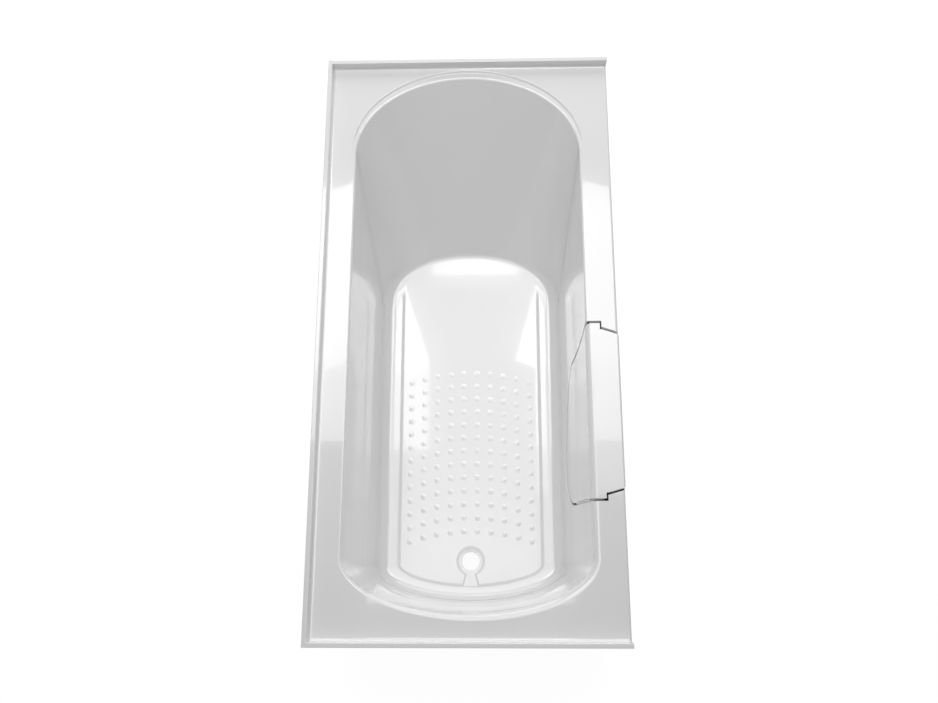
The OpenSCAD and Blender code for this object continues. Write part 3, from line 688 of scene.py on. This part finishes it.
def lamp_panel(name, size, radiance):
    """A rectangular lamp of a radiance, at the origin."""
    lamp = bpy.data.lights.new(name, "AREA")
    lamp.shape = "RECTANGLE"
    lamp.size = size[0]
    lamp.size_y = abs(size[1])
    lamp.energy = radiance * math.pi * size[0] * abs(size[1])
    panel = bpy.data.objects.new(name, lamp)
    bpy.context.scene.collection.objects.link(panel)
    return panel


def soft_panel(name, corner, turn, size, lift, radiance):
    """A level lamp panel over the bath, from its inner corner, with its lift and radiance."""
    panel = lamp_panel(name, size, radiance)
    angle = math.radians(turn)
    along = Vector((math.cos(angle), math.sin(angle), 0))
    sideways = Vector((-math.sin(angle), math.cos(angle), 0))
    start = Vector((corner[0], corner[1] + middle_y, deck_z + lamp_height + lift))
    panel.location = start + along * (size[0] / 2) + sideways * (size[1] / 2)
    panel.rotation_euler = (0, 0, angle)


def side_panel(name, spot, size, radiance):
    """A lamp panel beside the bath that faces its middle."""
    panel = lamp_panel(name, size, radiance)
    panel.location = (spot[0], spot[1] + middle_y, spot[2] + deck_z)
    aim = Vector((0, middle_y, deck_z)) - panel.location
    panel.rotation_euler = aim.to_track_quat("-Z", "Y").to_euler()


def build_camera():
    """The camera of the photograph."""
    lens = bpy.data.cameras.new("photo camera")
    lens.sensor_width = sensor_width
    lens.lens = focal_pixels / photo_width * sensor_width
    camera = bpy.data.objects.new("photo camera", lens)
    back = camera_right.cross(camera_up)
    turn = Matrix((camera_right, camera_up, back)).transposed().to_4x4()
    place = Vector((camera_x, camera_y + middle_y, camera_above_deck + deck_z))
    camera.matrix_world = Matrix.Translation(place) @ turn
    bpy.context.scene.collection.objects.link(camera)
    bpy.context.scene.camera = camera


# Plan of the tub: one column for each place round the well

# Share of the way to the corner that a cove's curve holds on to the floor, and to the wall
side_bend = 0.80
head_bend = 0.36
wall_bend = 0.58

Column = namedtuple(
    "Column", "rim rim_way floor floor_way panel edge deck rim_radius cove_radius bend ledge drop",
    defaults=(side_bend, 0.0, 0.0))
RoundedEnd = namedtuple(
    "RoundedEnd", "way rim_x rim_cap floor_x floor_cap floor_power panel_x panel_cap panel_power")

cap_steps = 120
cap_turns = [math.pi * (k / cap_steps - 0.5) for k in range(cap_steps + 1)]
side_stations = 36

# Turn at which a rounded end points at the deck's corner, with a little slack
corner_turn = math.radians(49.5)
turn_slack = 0.001

# Distance beyond the panel's outline that shows which way its step runs
panel_edge = 0.003

# Rim and ledge at the head end, and the power by which the cove changes at the drain end
head_rim_r = 0.011
ledge_drop_gain = 4
foot_cove_power = 0.7

# The rim widens to the door's radius round the drain end, and narrows again by the door's far edge
rim_change_turn = -80
rim_change_span = 110
rim_change_x = latch_edge_x - 0.009
rim_change_w = 0.008
change_clear = 0.01


def mix(a, b, share):
    """A value part of the way from a to b."""
    return a + (b - a) * share


def smooth_step(share):
    """A rise from 0 to 1 that starts and ends level."""
    share = max(0.0, min(1.0, share))
    return share * share * (3 - 2 * share)


def power(value, exponent):
    """A power that keeps the sign."""
    return math.copysign(abs(value) ** exponent, value)


def reach(radius, angle):
    """Distance from a corner to where a fillet starts."""
    return radius * math.tan(angle / 2)


def cap_point(x, cap, half, shape, way, turn):
    """A point on one rounded end."""
    return Vector((x + way * cap * abs(math.cos(turn)) ** (2 / shape),
                   way * half * power(math.sin(turn), 2 / shape)))


def cap_way(cap, half, shape, way, turn):
    """The direction into the well at that point."""
    return -Vector((way * abs(math.cos(turn)) ** (2 - 2 / shape) / cap,
                    way * power(math.sin(turn), 2 - 2 / shape) / half)).normalized()


def cap_deck(x, way, turn):
    """The point of the deck's outer edge that belongs to a point on a rounded end."""
    if abs(turn) <= corner_turn + turn_slack:
        return Vector((way * half_l, way * half_w * turn / corner_turn))
    share = (abs(turn) - corner_turn) / (math.pi / 2 - corner_turn)
    return Vector((mix(way * half_l, x, share), way * math.copysign(half_w, turn)))


side_slope = math.atan2(well_depth, wall_draft * well_depth)
panel_half = floor_half - reach(side_cove_r, side_slope) - side_gutter
panel_foot = floor_foot + reach(foot_cove_r, math.atan2(well_depth, foot_run)) + foot_gutter
panel_foot_x = panel_foot + panel_foot_cap
panel_head = floor_head - panel_clear
panel_head_x = panel_head - panel_head_cap


head_end = RoundedEnd(1, rim_head_x, head_cap, floor_head_x, floor_head_cap, floor_head_power,
                      panel_head_x, panel_head_cap, floor_head_power)
foot_end = RoundedEnd(-1, rim_foot_x, foot_cap, floor_foot_x, floor_foot_cap, 2,
                      panel_foot_x, panel_foot_cap, panel_power)


def end_column(end, turn, **details):
    """A column at a rounded end."""
    return Column(
        rim=cap_point(end.rim_x, end.rim_cap, basin_half, 2, end.way, turn),
        rim_way=cap_way(end.rim_cap, basin_half, 2, end.way, turn),
        floor=cap_point(end.floor_x, end.floor_cap, floor_half, end.floor_power, end.way, turn),
        floor_way=cap_way(end.floor_cap, floor_half, end.floor_power, end.way, turn),
        panel=cap_point(end.panel_x, end.panel_cap, panel_half, end.panel_power, end.way, turn),
        edge=cap_point(end.panel_x, end.panel_cap + panel_edge, panel_half + panel_edge,
                       end.panel_power, end.way, turn),
        deck=cap_deck(end.rim_x, end.way, turn),
        **details,
    )


def head_column(turn):
    """A column at the head end, where the crescent ledge runs outside the rim."""
    along = max(0.0, math.cos(turn))
    return end_column(
        head_end, turn,
        rim_radius=mix(rim_r, head_rim_r, along),
        cove_radius=mix(side_cove_r, head_cove_r, math.cos(turn) ** 2),
        bend=mix(side_bend, head_bend, along ** 0.5),
        ledge=crescent_w * math.sqrt(along),
        drop=crescent_drop * min(1.0, ledge_drop_gain * along),
    )


def foot_column(turn):
    """A column at the drain end."""
    widening = smooth_step((math.degrees(turn) - rim_change_turn) / rim_change_span)
    return end_column(
        foot_end, turn,
        rim_radius=mix(rim_r, door_rim_r, widening),
        cove_radius=mix(side_cove_r, foot_cove_r, max(0.0, math.cos(turn)) ** foot_cove_power),
    )


def side_column(x, side):
    """A column on one of the long walls."""
    share = (x - rim_foot_x) / (rim_head_x - rim_foot_x)
    radius = rim_r
    if side < 0:
        radius = mix(door_rim_r, rim_r, max(0.0, min(1.0, (x - rim_change_x) / rim_change_w)))
    return Column(
        rim=Vector((x, side * basin_half)),
        rim_way=Vector((0, -side)),
        floor=Vector((mix(floor_foot_x, floor_head_x, share), side * floor_half)),
        floor_way=Vector((0, -side)),
        panel=Vector((mix(panel_foot_x, panel_head_x, share), side * panel_half)),
        edge=Vector((mix(panel_foot_x, panel_head_x, share), side * (panel_half + panel_edge))),
        deck=Vector((x, side * half_w)),
        rim_radius=radius,
        cove_radius=side_cove_r,
    )


def well_columns():
    """All columns in order: head end, back, drain end, front."""
    between = [mix(rim_foot_x, rim_head_x, k / side_stations) for k in range(1, side_stations)]
    change = [rim_change_x + rim_change_w * k / 4 for k in range(5)]
    clear = [x for x in between if abs(x - change[2]) > change_clear]
    front = sorted(clear + change)
    columns = [head_column(turn) for turn in cap_turns]
    columns += [side_column(x, 1) for x in reversed(between)]
    columns += [foot_column(turn) for turn in cap_turns]
    columns += [side_column(x, -1) for x in front]
    return columns


# Points along the rounded rim and the cove
rim_steps = 9
cove_steps = 18


def place(point, z):
    """A point of the plan at a height from the deck, in the frame."""
    return Vector((point.x, point.y + middle_y, z + deck_z))


def fall_at(x):
    """How far the floor has fallen on its way to the drain end."""
    return floor_fall * (floor_head - x) / (floor_head - floor_foot)


def gutter_rise(x):
    """Height of the gutter over the floor, which comes up to the panel at the head end."""
    return panel_step * smooth_step((x - gutter_end) / gutter_run)


def wall_slope(column, way):
    """Angle of the wall along a direction of the plan."""
    return math.atan2(well_depth, (column.floor - column.rim).dot(way))


def rim_place(column, depth, k):
    """A point on the rounded rim, offset below the face by depth."""
    slope = wall_slope(column, column.rim_way)
    radius = column.rim_radius
    turn = slope * k / rim_steps
    shift = column.drop * (column.floor - column.rim).dot(column.rim_way) / well_depth
    inwards = shift - reach(radius, slope) + (radius - depth) * math.sin(turn)
    height = (radius - depth) * math.cos(turn) - radius - column.drop
    return place(column.rim + column.rim_way * inwards, height)


def cove_place(column, depth, k, falls=1):
    """A point on the cove between the wall and the floor, offset below the face by depth."""
    slope = wall_slope(column, column.floor_way)
    leg = reach(column.cove_radius, slope)
    wall = Vector((-math.cos(slope), math.sin(slope)))
    top = wall * leg
    wall_hold = wall * leg * (1 - wall_bend)
    floor_hold = Vector((leg * (1 - column.bend), 0))
    foot = Vector((leg, 0))
    share = k / cove_steps
    rest = 1 - share
    spot = (top * rest ** 3 + wall_hold * 3 * rest ** 2 * share
            + floor_hold * 3 * rest * share ** 2 + foot * share ** 3)
    way = ((wall_hold - top) * rest ** 2 + (floor_hold - wall_hold) * 2 * rest * share
           + (foot - floor_hold) * share ** 2).normalized()
    spot = spot + Vector((way.y, -way.x)) * depth
    point = column.floor + column.floor_way * spot.x
    return place(point, spot.y - well_depth - falls * (fall_at(point.x) - gutter_rise(point.x)))


def ledge_reach(column, extra):
    """Distance from the rim out to a point of the crescent ledge's edge."""
    narrow = 1.0 if extra > 0 else column.ledge / crescent_w
    return reach(column.rim_radius, wall_slope(column, column.rim_way)) + column.ledge + extra * narrow


def ledge_place(column, depth, extra, drop):
    """A point on or beside the crescent ledge's edge, with its share of the ledge's drop."""
    return place(column.rim - column.rim_way * ledge_reach(column, extra), -depth - drop * column.drop)


def floor_place(point, rise):
    """A point on the floor, with its share of the way up from the gutter to the panel."""
    return place(point, mix(gutter_rise(point.x), panel_step, rise) - well_depth - fall_at(point.x))


# Points across the floor panel, its step down to the gutter, and the wall
floor_shares = (0, 0.2, 0.45, 0.7, 0.9)
step_shares = (0, 0.1, 0.22, 0.36, 0.5, 0.64, 0.78, 0.9, 1)
step_inner = 0.0030
step_reach = 0.0115
wall_shares = (0.85, 0.6, 0.35)

# Edge of the crescent ledge: distance outwards and share of its drop
ledge_shares = ((-0.0052, 1), (-0.0042, 0.93), (-0.0024, 0.70), (0.0000, 0.30), (0.0014, 0.08), (0.0024, 0))

# Rings that keep the deck's wide faces level: outside the ledge, and inside the tub's edge
ledge_hem = 0.0045
deck_hems = (0.0205, 0.0065)
least_deck_share = 0.1


def deck_place(start, end, hem):
    """A point on the way from the ledge to the tub's edge, at a distance inside that edge."""
    limits = ((start.x, end.x, half_l - hem), (start.y, end.y, half_w - hem))
    shares = [(limit - abs(a)) / (abs(b) - abs(a)) for a, b, limit in limits if abs(b) > limit]
    return start.lerp(end, max(least_deck_share, min(shares)))


def upper_profile(column):
    """Points from the middle of the floor up to the deck's outer edge."""
    points = [floor_place(column.panel * share, 1) for share in floor_shares]
    outwards = (column.edge - column.panel).normalized()
    for share in step_shares:
        spot = column.panel + outwards * (step_reach * share - step_inner)
        points.append(floor_place(spot, 1 - smooth_step(share)))
    points += [cove_place(column, 0, k) for k in range(cove_steps, -1, -1)]
    low = cove_place(column, 0, 0, 0)
    high = rim_place(column, 0, rim_steps)
    points += [high.lerp(low, share) for share in wall_shares]
    points += [rim_place(column, 0, k) for k in range(rim_steps, -1, -1)]
    points += [ledge_place(column, 0, extra, drop) for extra, drop in ledge_shares]
    start = column.rim - column.rim_way * ledge_reach(column, ledge_hem)
    points.append(place(start, 0))
    points += [place(deck_place(start, column.deck, hem), 0) for hem in deck_hems]
    points.append(place(column.deck, 0))
    return points


def under_profile(column):
    """Points from the deck's outer edge back below the skin to the middle of the floor."""
    points = [place(column.deck, -shell_t)]
    points += [ledge_place(column, shell_t, extra, drop) for extra, drop in reversed(ledge_shares)]
    points += [rim_place(column, shell_t, k) for k in range(rim_steps + 1)]
    high = rim_place(column, shell_t, rim_steps)
    low = cove_place(column, shell_t, 0, 0)
    points += [high.lerp(low, share) for share in reversed(wall_shares)]
    points += [cove_place(column, shell_t, k) for k in range(cove_steps + 1)]
    points.append(place(Vector((0, 0)), -well_depth - shell_t - fall_at(0)))
    return points


def build_skin():
    """The moulded skin of deck, walls and floor, with its back in the second material."""
    columns = well_columns()
    profiles = [upper_profile(column) + under_profile(column) for column in columns]
    front_rows = len(upper_profile(columns[0]))
    rings = [list(ring) for ring in zip(*profiles)]
    skin = loft("bath_shell", rings)
    dress(skin, white_gel, backing)
    around = len(columns) + 1
    for face in skin.data.polygons:
        row = min(face.vertices) // around
        face.material_index = 1 if row >= front_rows else 0
    weld(skin)
    return skin


# Doorway outline, as distance along the tub and height from the deck

def meet(a, radius_a, b, radius_b):
    """Where two circles meet, on the lower side."""
    gap = (b - a).length
    way = (b - a) / gap
    along = (radius_a ** 2 - radius_b ** 2 + gap ** 2) / (2 * gap)
    return a + way * along + Vector((way.y, -way.x)) * math.sqrt(radius_a ** 2 - along ** 2)


sill_middle = Vector((hinge_x + sill_low_x, sill_r - door_depth))
edge_middle = Vector((latch_edge_x + latch_edge_r * math.cos(latch_edge_lean),
                      -latch_edge_r * math.sin(latch_edge_lean)))
hinge_corner_x = hinge_x + hinge_corner_r
hinge_corner_drop = math.sqrt((sill_r - hinge_corner_r) ** 2 - (hinge_corner_x - sill_middle.x) ** 2)
hinge_corner = Vector((hinge_corner_x, sill_middle.y - hinge_corner_drop))
latch_corner = meet(sill_middle, sill_r - latch_corner_r, edge_middle, latch_edge_r + latch_corner_r)


def bearing(start, end):
    """Direction from one point to another, as an angle."""
    return math.atan2(end.y - start.y, end.x - start.x)


def arc(middle, radius, start, end, steps):
    """Points along an arc."""
    turns = [mix(start, end, k / steps) for k in range(steps + 1)]
    return [middle + radius * Vector((math.cos(turn), math.sin(turn))) for turn in turns]


def doorway_outline(inset):
    """The doorway, made smaller all round by an inset."""
    low = bearing(sill_middle, hinge_corner)
    rise = bearing(sill_middle, latch_corner)
    side = bearing(latch_corner, edge_middle)
    edge_low = bearing(edge_middle, latch_corner)
    edge_top = math.pi - latch_edge_lean
    far = edge_middle + (latch_edge_r + inset) * Vector((math.cos(edge_top), math.sin(edge_top)))
    top = cut_above - inset
    points = [Vector((hinge_x + inset, top))]
    points += arc(hinge_corner, hinge_corner_r - inset, math.pi, math.tau + low, 20)
    sill_start = mix(low, rise, corner_hem)
    sill_end = mix(low, rise, 1 - corner_hem)
    points += arc(sill_middle, sill_r - inset, sill_start, sill_end, 26)
    points += arc(latch_corner, latch_corner_r - inset, rise, side, 18)
    points += arc(edge_middle, latch_edge_r + inset, mix(edge_low, edge_top, edge_hem), edge_top, 24)
    points.append(Vector((far.x, top)))
    return points


def doorway_ring(inset, y):
    """The doorway's outline in the frame, at a distance across the tub."""
    return [Vector((p.x, y + middle_y, p.y + deck_z)) for p in doorway_outline(inset)]


def along_tub(name, section, start, end):
    """A prism along the tub, from a cross-section's distances across it and heights from the deck."""
    points = [Vector((start, y + middle_y, z + deck_z)) for y, z in section]
    return prism(name, points, (end - start, 0, 0))


def rounding(middle_across, middle_up, radius, start, end, steps):
    """Points of a cross-section along a rounded edge, in degrees."""
    turns = [math.radians(mix(start, end, k / steps)) for k in range(steps + 1)]
    return [(middle_across + radius * math.cos(turn), middle_up + radius * math.sin(turn))
            for turn in turns]


def flange_section():
    """The tile flange in cross-section, as distance in from the outer face and height from the deck."""
    edge = 0.0015
    section = [(0, -shell_t / 2)]
    section += rounding(edge, flange_h - edge, edge, 180, 90, 4)
    section += rounding(flange_t - edge, flange_h - edge, edge, 90, 0, 4)
    section += rounding(flange_t + flange_cove_r, flange_cove_r, flange_cove_r, 180, 270, 6)
    section.append((flange_t + flange_cove_r, -shell_t / 2))
    return section


def add_flange(shell):
    """The upstand along the head end, the back and the drain end."""
    section = flange_section()
    back = [(half_w - inset, z) for inset, z in section]
    combine(shell, along_tub("back flange", back, -half_l, half_l), "UNION")
    for name, way in (("head flange", 1), ("foot flange", -1)):
        end = [Vector((way * (half_l - inset), middle_y - half_w, deck_z + z)) for inset, z in section]
        combine(shell, prism(name, end, (0, tub_width, 0)), "UNION")


def add_front_lip(shell):
    """The lip turned down along the front, with its rounded edge between the end flanges."""
    edge = 0.0012
    inner = 0.003
    section = [(-half_w, -shell_t / 2), (-half_w, edge - lip_h)]
    section += rounding(edge - half_w, edge - lip_h, edge, 180, 270, 3)[1:]
    section += rounding(shell_t - edge - half_w, edge - lip_h, edge, 270, 360, 3)
    section += rounding(shell_t + inner - half_w, -shell_t - inner, inner, 180, 90, 4)
    section.append((shell_t + inner - half_w, -shell_t / 2))
    combine(shell, along_tub("front lip", section, -half_l, half_l), "UNION")
    r = front_edge_r
    cut = [(-half_w - r, r), (-half_w - r, -r), (-half_w, -r)]
    cut += rounding(r - half_w, -r, r, 180, 90, 8)[1:]
    cut.append((r - half_w, r))
    combine(shell, along_tub("front edge", cut, flange_t - half_l, half_l - flange_t), "DIFFERENCE")


def cut_doorway(shell):
    """Opens the stepped doorway in the front wall."""
    gap = seam_gap / 2
    rings = [
        doorway_ring(-gap, inner_y + cut_inside),
        doorway_ring(-gap, step_y),
        doorway_ring(step_w - gap, step_y),
        doorway_ring(step_w + plug_taper - gap, -half_w),
        doorway_ring(step_w + plug_taper - gap, -half_w - cut_outside),
    ]
    combine(shell, capped_loft("doorway", rings), "DIFFERENCE")


def cut_hinge_relief(shell):
    """The bore beside the doorway that the hinge's knuckles turn in."""
    low = Vector((hinge_x, middle_y + inner_y - axis_back + wall_draft * (hinge_drop + hinge_l),
                  deck_z - hinge_drop - hinge_l))
    way = Vector((0, -wall_draft, 1)).normalized()
    length = hinge_l / way.z + 2 * knuckle_gap
    clear_selection()
    bpy.ops.mesh.primitive_cylinder_add(vertices=48, radius=knuckle_r + relief_gap, depth=length)
    bore = named("hinge relief")
    bore.rotation_euler = way.to_track_quat("Z", "Y").to_euler()
    bore.location = low + way * (length / 2 - knuckle_gap)
    settle(bore)
    combine(shell, bore, "DIFFERENCE")


def channel_ring(share):
    """One section of the drain channel, from the recess out to the gutter, where it widens."""
    x = mix(drain_x - recess_floor_r + channel_start, panel_foot - channel_stop, share)
    half = mix(channel_narrow, channel_wide, smooth_step(share))
    low = deck_z - well_depth - fall_at(x)
    top = panel_step + channel_over
    section = [(half + slope_w * k / 6, top * smooth_step(k / 6)) for k in range(7)]
    section.append((half + slope_w, top + channel_clear))
    sides = [(-y, z) for y, z in reversed(section)] + section
    return [Vector((x, middle_y + y, low + z)) for y, z in sides]


def cut_drain(shell):
    """The drain hole in its dished recess, and the channel that leads to it."""
    drain_z = deck_z - well_depth - fall_at(drain_x)
    top = panel_step + recess_over
    rise = [k / 8 for k in range(9)]
    profile = [(0, -bore_depth), (drain_r, -bore_depth)]
    profile += [(drain_r + out, z) for out, z in bore_edge]
    profile += [(mix(recess_floor_r, recess_brow_r, share), top * smooth_step(share)) for share in rise]
    profile += [(recess_brow_r, top + recess_clear), (0, top + recess_clear)]
    recess = turned("drain recess", profile)
    recess.location = (drain_x, middle_y, drain_z)
    settle(recess)
    combine(shell, recess, "DIFFERENCE")
    combine(shell, capped_loft("channel", [channel_ring(k / 10) for k in range(11)]), "DIFFERENCE")


def build_shell():
    """The tub's moulded skin, with its flange, lip, doorway and drain."""
    shell = build_skin()
    add_flange(shell)
    add_front_lip(shell)
    cut_doorway(shell)
    cut_hinge_relief(shell)
    cut_drain(shell)
    smooth(shell)
    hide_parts("tub_shell")
    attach(shell, "tub")


def build_door():
    """The door's moulding and its front skin."""
    panel = rounded_copy("door_panel", "door_moulding", 0.0018, segments=3)
    dress(panel, white_gel)
    front = rounded_copy("door_front", "door_front_skin", 0.0008)
    dress(front, white_gel)


def build_seal_and_seam_shade_strip():
    """The dark rubber strip that fills the seam beside the hinge, between its step and the front: partly a
    seal, partly painted shade for the seam's dark depth.
    """
    clear = step_w - seam_gap / 2 + strip_clear
    full = clear + strip_w
    front_y = strip_front - half_w
    rings = [
        doorway_ring(clear, step_y),
        doorway_ring(clear + plug_taper, front_y),
        doorway_ring(full + plug_taper, front_y),
        doorway_ring(full, step_y),
        doorway_ring(clear, step_y),
    ]
    strip = loft("door_seal_lip_and_seam_shade", rings)
    weld(strip)
    low = deck_z - strip_depth - strip_l
    near_y = middle_y - half_w - keeper_reach
    foot_x = hinge_x - keeper_reach
    head_x = hinge_x + keeper_past_hinge
    corners = [(foot_x, near_y), (head_x, near_y), (head_x, middle_y), (foot_x, middle_y)]
    keeper = prism("strip keeper", [Vector((x, y, low)) for x, y in corners], (0, 0, strip_l))
    combine(strip, keeper, "INTERSECT")
    smooth(strip)
    # Its dark rubber is partly painted shade: it darkens the seam, which would otherwise show the pale
    # floor through it
    dress(strip, seal_rubber)
    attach(strip, "tub")


def grip_dot():
    """One raised dot with a soft hem, at the origin."""
    shares = [k / 9 for k in range(10)]
    hem = [(dot_r * share, dot_rise * (math.cos(math.pi * share) + 1) / 2) for share in shares]
    return turned("grip dot", hem + [(dot_r, -dot_root), (0, -dot_root)], 24)


def build_grip_dots():
    """Raised dots on the floor panel, in rows that bow towards the head end."""
    pattern = grip_dot()
    copies = []
    for row in range(dot_rows):
        row_x = dots_head_x + (dots_foot_x - dots_head_x) * row / (dot_rows - 1)
        for column in range(-dot_pairs, dot_pairs):
            side = (column + 0.5) * dot_pitch
            x = row_x - row_bow_r + math.sqrt(row_bow_r ** 2 - side ** 2)
            only(pattern)
            bpy.ops.object.duplicate()
            dot = bpy.context.active_object
            dot.location = floor_place(Vector((x, side)), 1) - Vector((0, 0, dot_sink))
            copies.append(dot)
    only(*copies)
    bpy.ops.object.join()
    dots = named("grip_dots")
    settle(dots)
    bpy.ops.object.shade_smooth()
    bpy.data.objects.remove(pattern)
    dress(dots, white_gel)
    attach(dots, "tub")


def build_hardware():
    """Softened copies of the pieces behind and under the tub."""
    tubes = ["rail_front", "rail_back", "door_post_hinge", "door_post_latch", "sill_post", "top_rail_back",
             "top_rail_head", "top_rail_foot", "top_rail_front_foot", "top_rail_front_head"]
    tubes += [f"cross_member_{k}" for k in range(1, 6)]
    tubes += [f"corner_post_{k}" for k in range(1, 5)]
    looks = [(node, 0.0010, tube_steel, "frame_steel") for node in tubes]
    looks += [
        # the jambs and sill in near-black gel: painted shade for the seam round the door
        ("door_frame", 0.0008, seam_shade_frame_gel, "acrylic"),
        ("front_apron", 0.0012, white_gel, "acrylic"),
        ("apron_brackets", 0.0004, zinc_plate, "frame_steel"),
        ("apron_screws", 0.0006, zinc_plate, "bright_metal"),
        ("door_seal", 0.0005, seal_rubber, "rubber"),
        ("base_board", 0.0010, board_ply, "board"),
        ("hinge_frame_leaf", 0.0003, brushed_steel, "bright_metal"),
        ("hinge_door_leaf", 0.0003, brushed_steel, "bright_metal"),
        ("hinge_pin", 0.0003, polished_steel, "bright_metal"),
        ("strike_plate", 0.0005, brushed_steel, "bright_metal"),
        ("latch_base", 0.0006, brushed_steel, "bright_metal"),
        ("latch_pivot", 0.0005, polished_steel, "bright_metal"),
        ("latch_lever", 0.0010, polished_steel, "bright_metal"),
        ("foot_nuts", 0.0006, zinc_plate, "frame_steel"),
    ]
    looks += [(f"foot_pad_{k}", 0.0016, pad_rubber, "rubber") for k in range(1, foot_count + 1)]
    for node, edge, material, slot in looks:
        piece = rounded_copy(node, f"{node}_seen", edge)
        dress(piece, material)


def thread_rings(low, high):
    """Rings of a thread between the corners of a box, tapered at both ends."""
    middle = (low + high) / 2
    outer = (high.x - low.x) / 2
    count = int((high.z - low.z) / thread_pitch * rings_per_pitch)
    rings = []
    for row in range(count + 1):
        z = mix(low.z, high.z, row / count)
        taper = min(1.0, (z - low.z) / thread_hem, (high.z - z) / thread_hem)
        ring = []
        for step in range(thread_around):
            turn = math.tau * step / thread_around
            wave = (math.cos(math.tau * (z / thread_pitch) - turn) + 1) / 2
            radius = outer - thread_depth * (1 - wave) - thread_depth * (1 - taper)
            ring.append(Vector((middle.x + radius * math.cos(turn), middle.y + radius * math.sin(turn), z)))
        rings.append(ring)
    return rings


def build_stems():
    """The threaded stems of the levelling feet."""
    for k in range(1, foot_count + 1):
        stem = capped_loft(f"threaded_stem_{k}", thread_rings(*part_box(f"foot_stem_{k}")))
        smooth(stem, degrees=50)
        dress(stem, zinc_plate)
        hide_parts(f"foot_stem_{k}")
        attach(stem, nodes[f"foot_stem_{k}"]["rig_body"])


def dress_frame():
    """Materials of the CAD nodes under the softened copies."""
    finishes = {
        "acrylic": white_gel,
        "frame_steel": tube_steel,
        "bright_metal": brushed_steel,
        "rubber": seal_rubber,
        "board": board_ply,
    }
    for part in frame["record"]["subparts"]:
        dress(nodes[part["node"]], finishes[part["material_slot"]])


bpy.context.scene.view_settings.view_transform = "Standard"
build_camera()
build_floor()
build_world()
for lamp_values in lamps:
    soft_panel(*lamp_values)
side_panel(*side_lamp)
dress_frame()
build_shell()
build_door()
build_grip_dots()
build_seal_and_seam_shade_strip()
build_hardware()
build_stems()
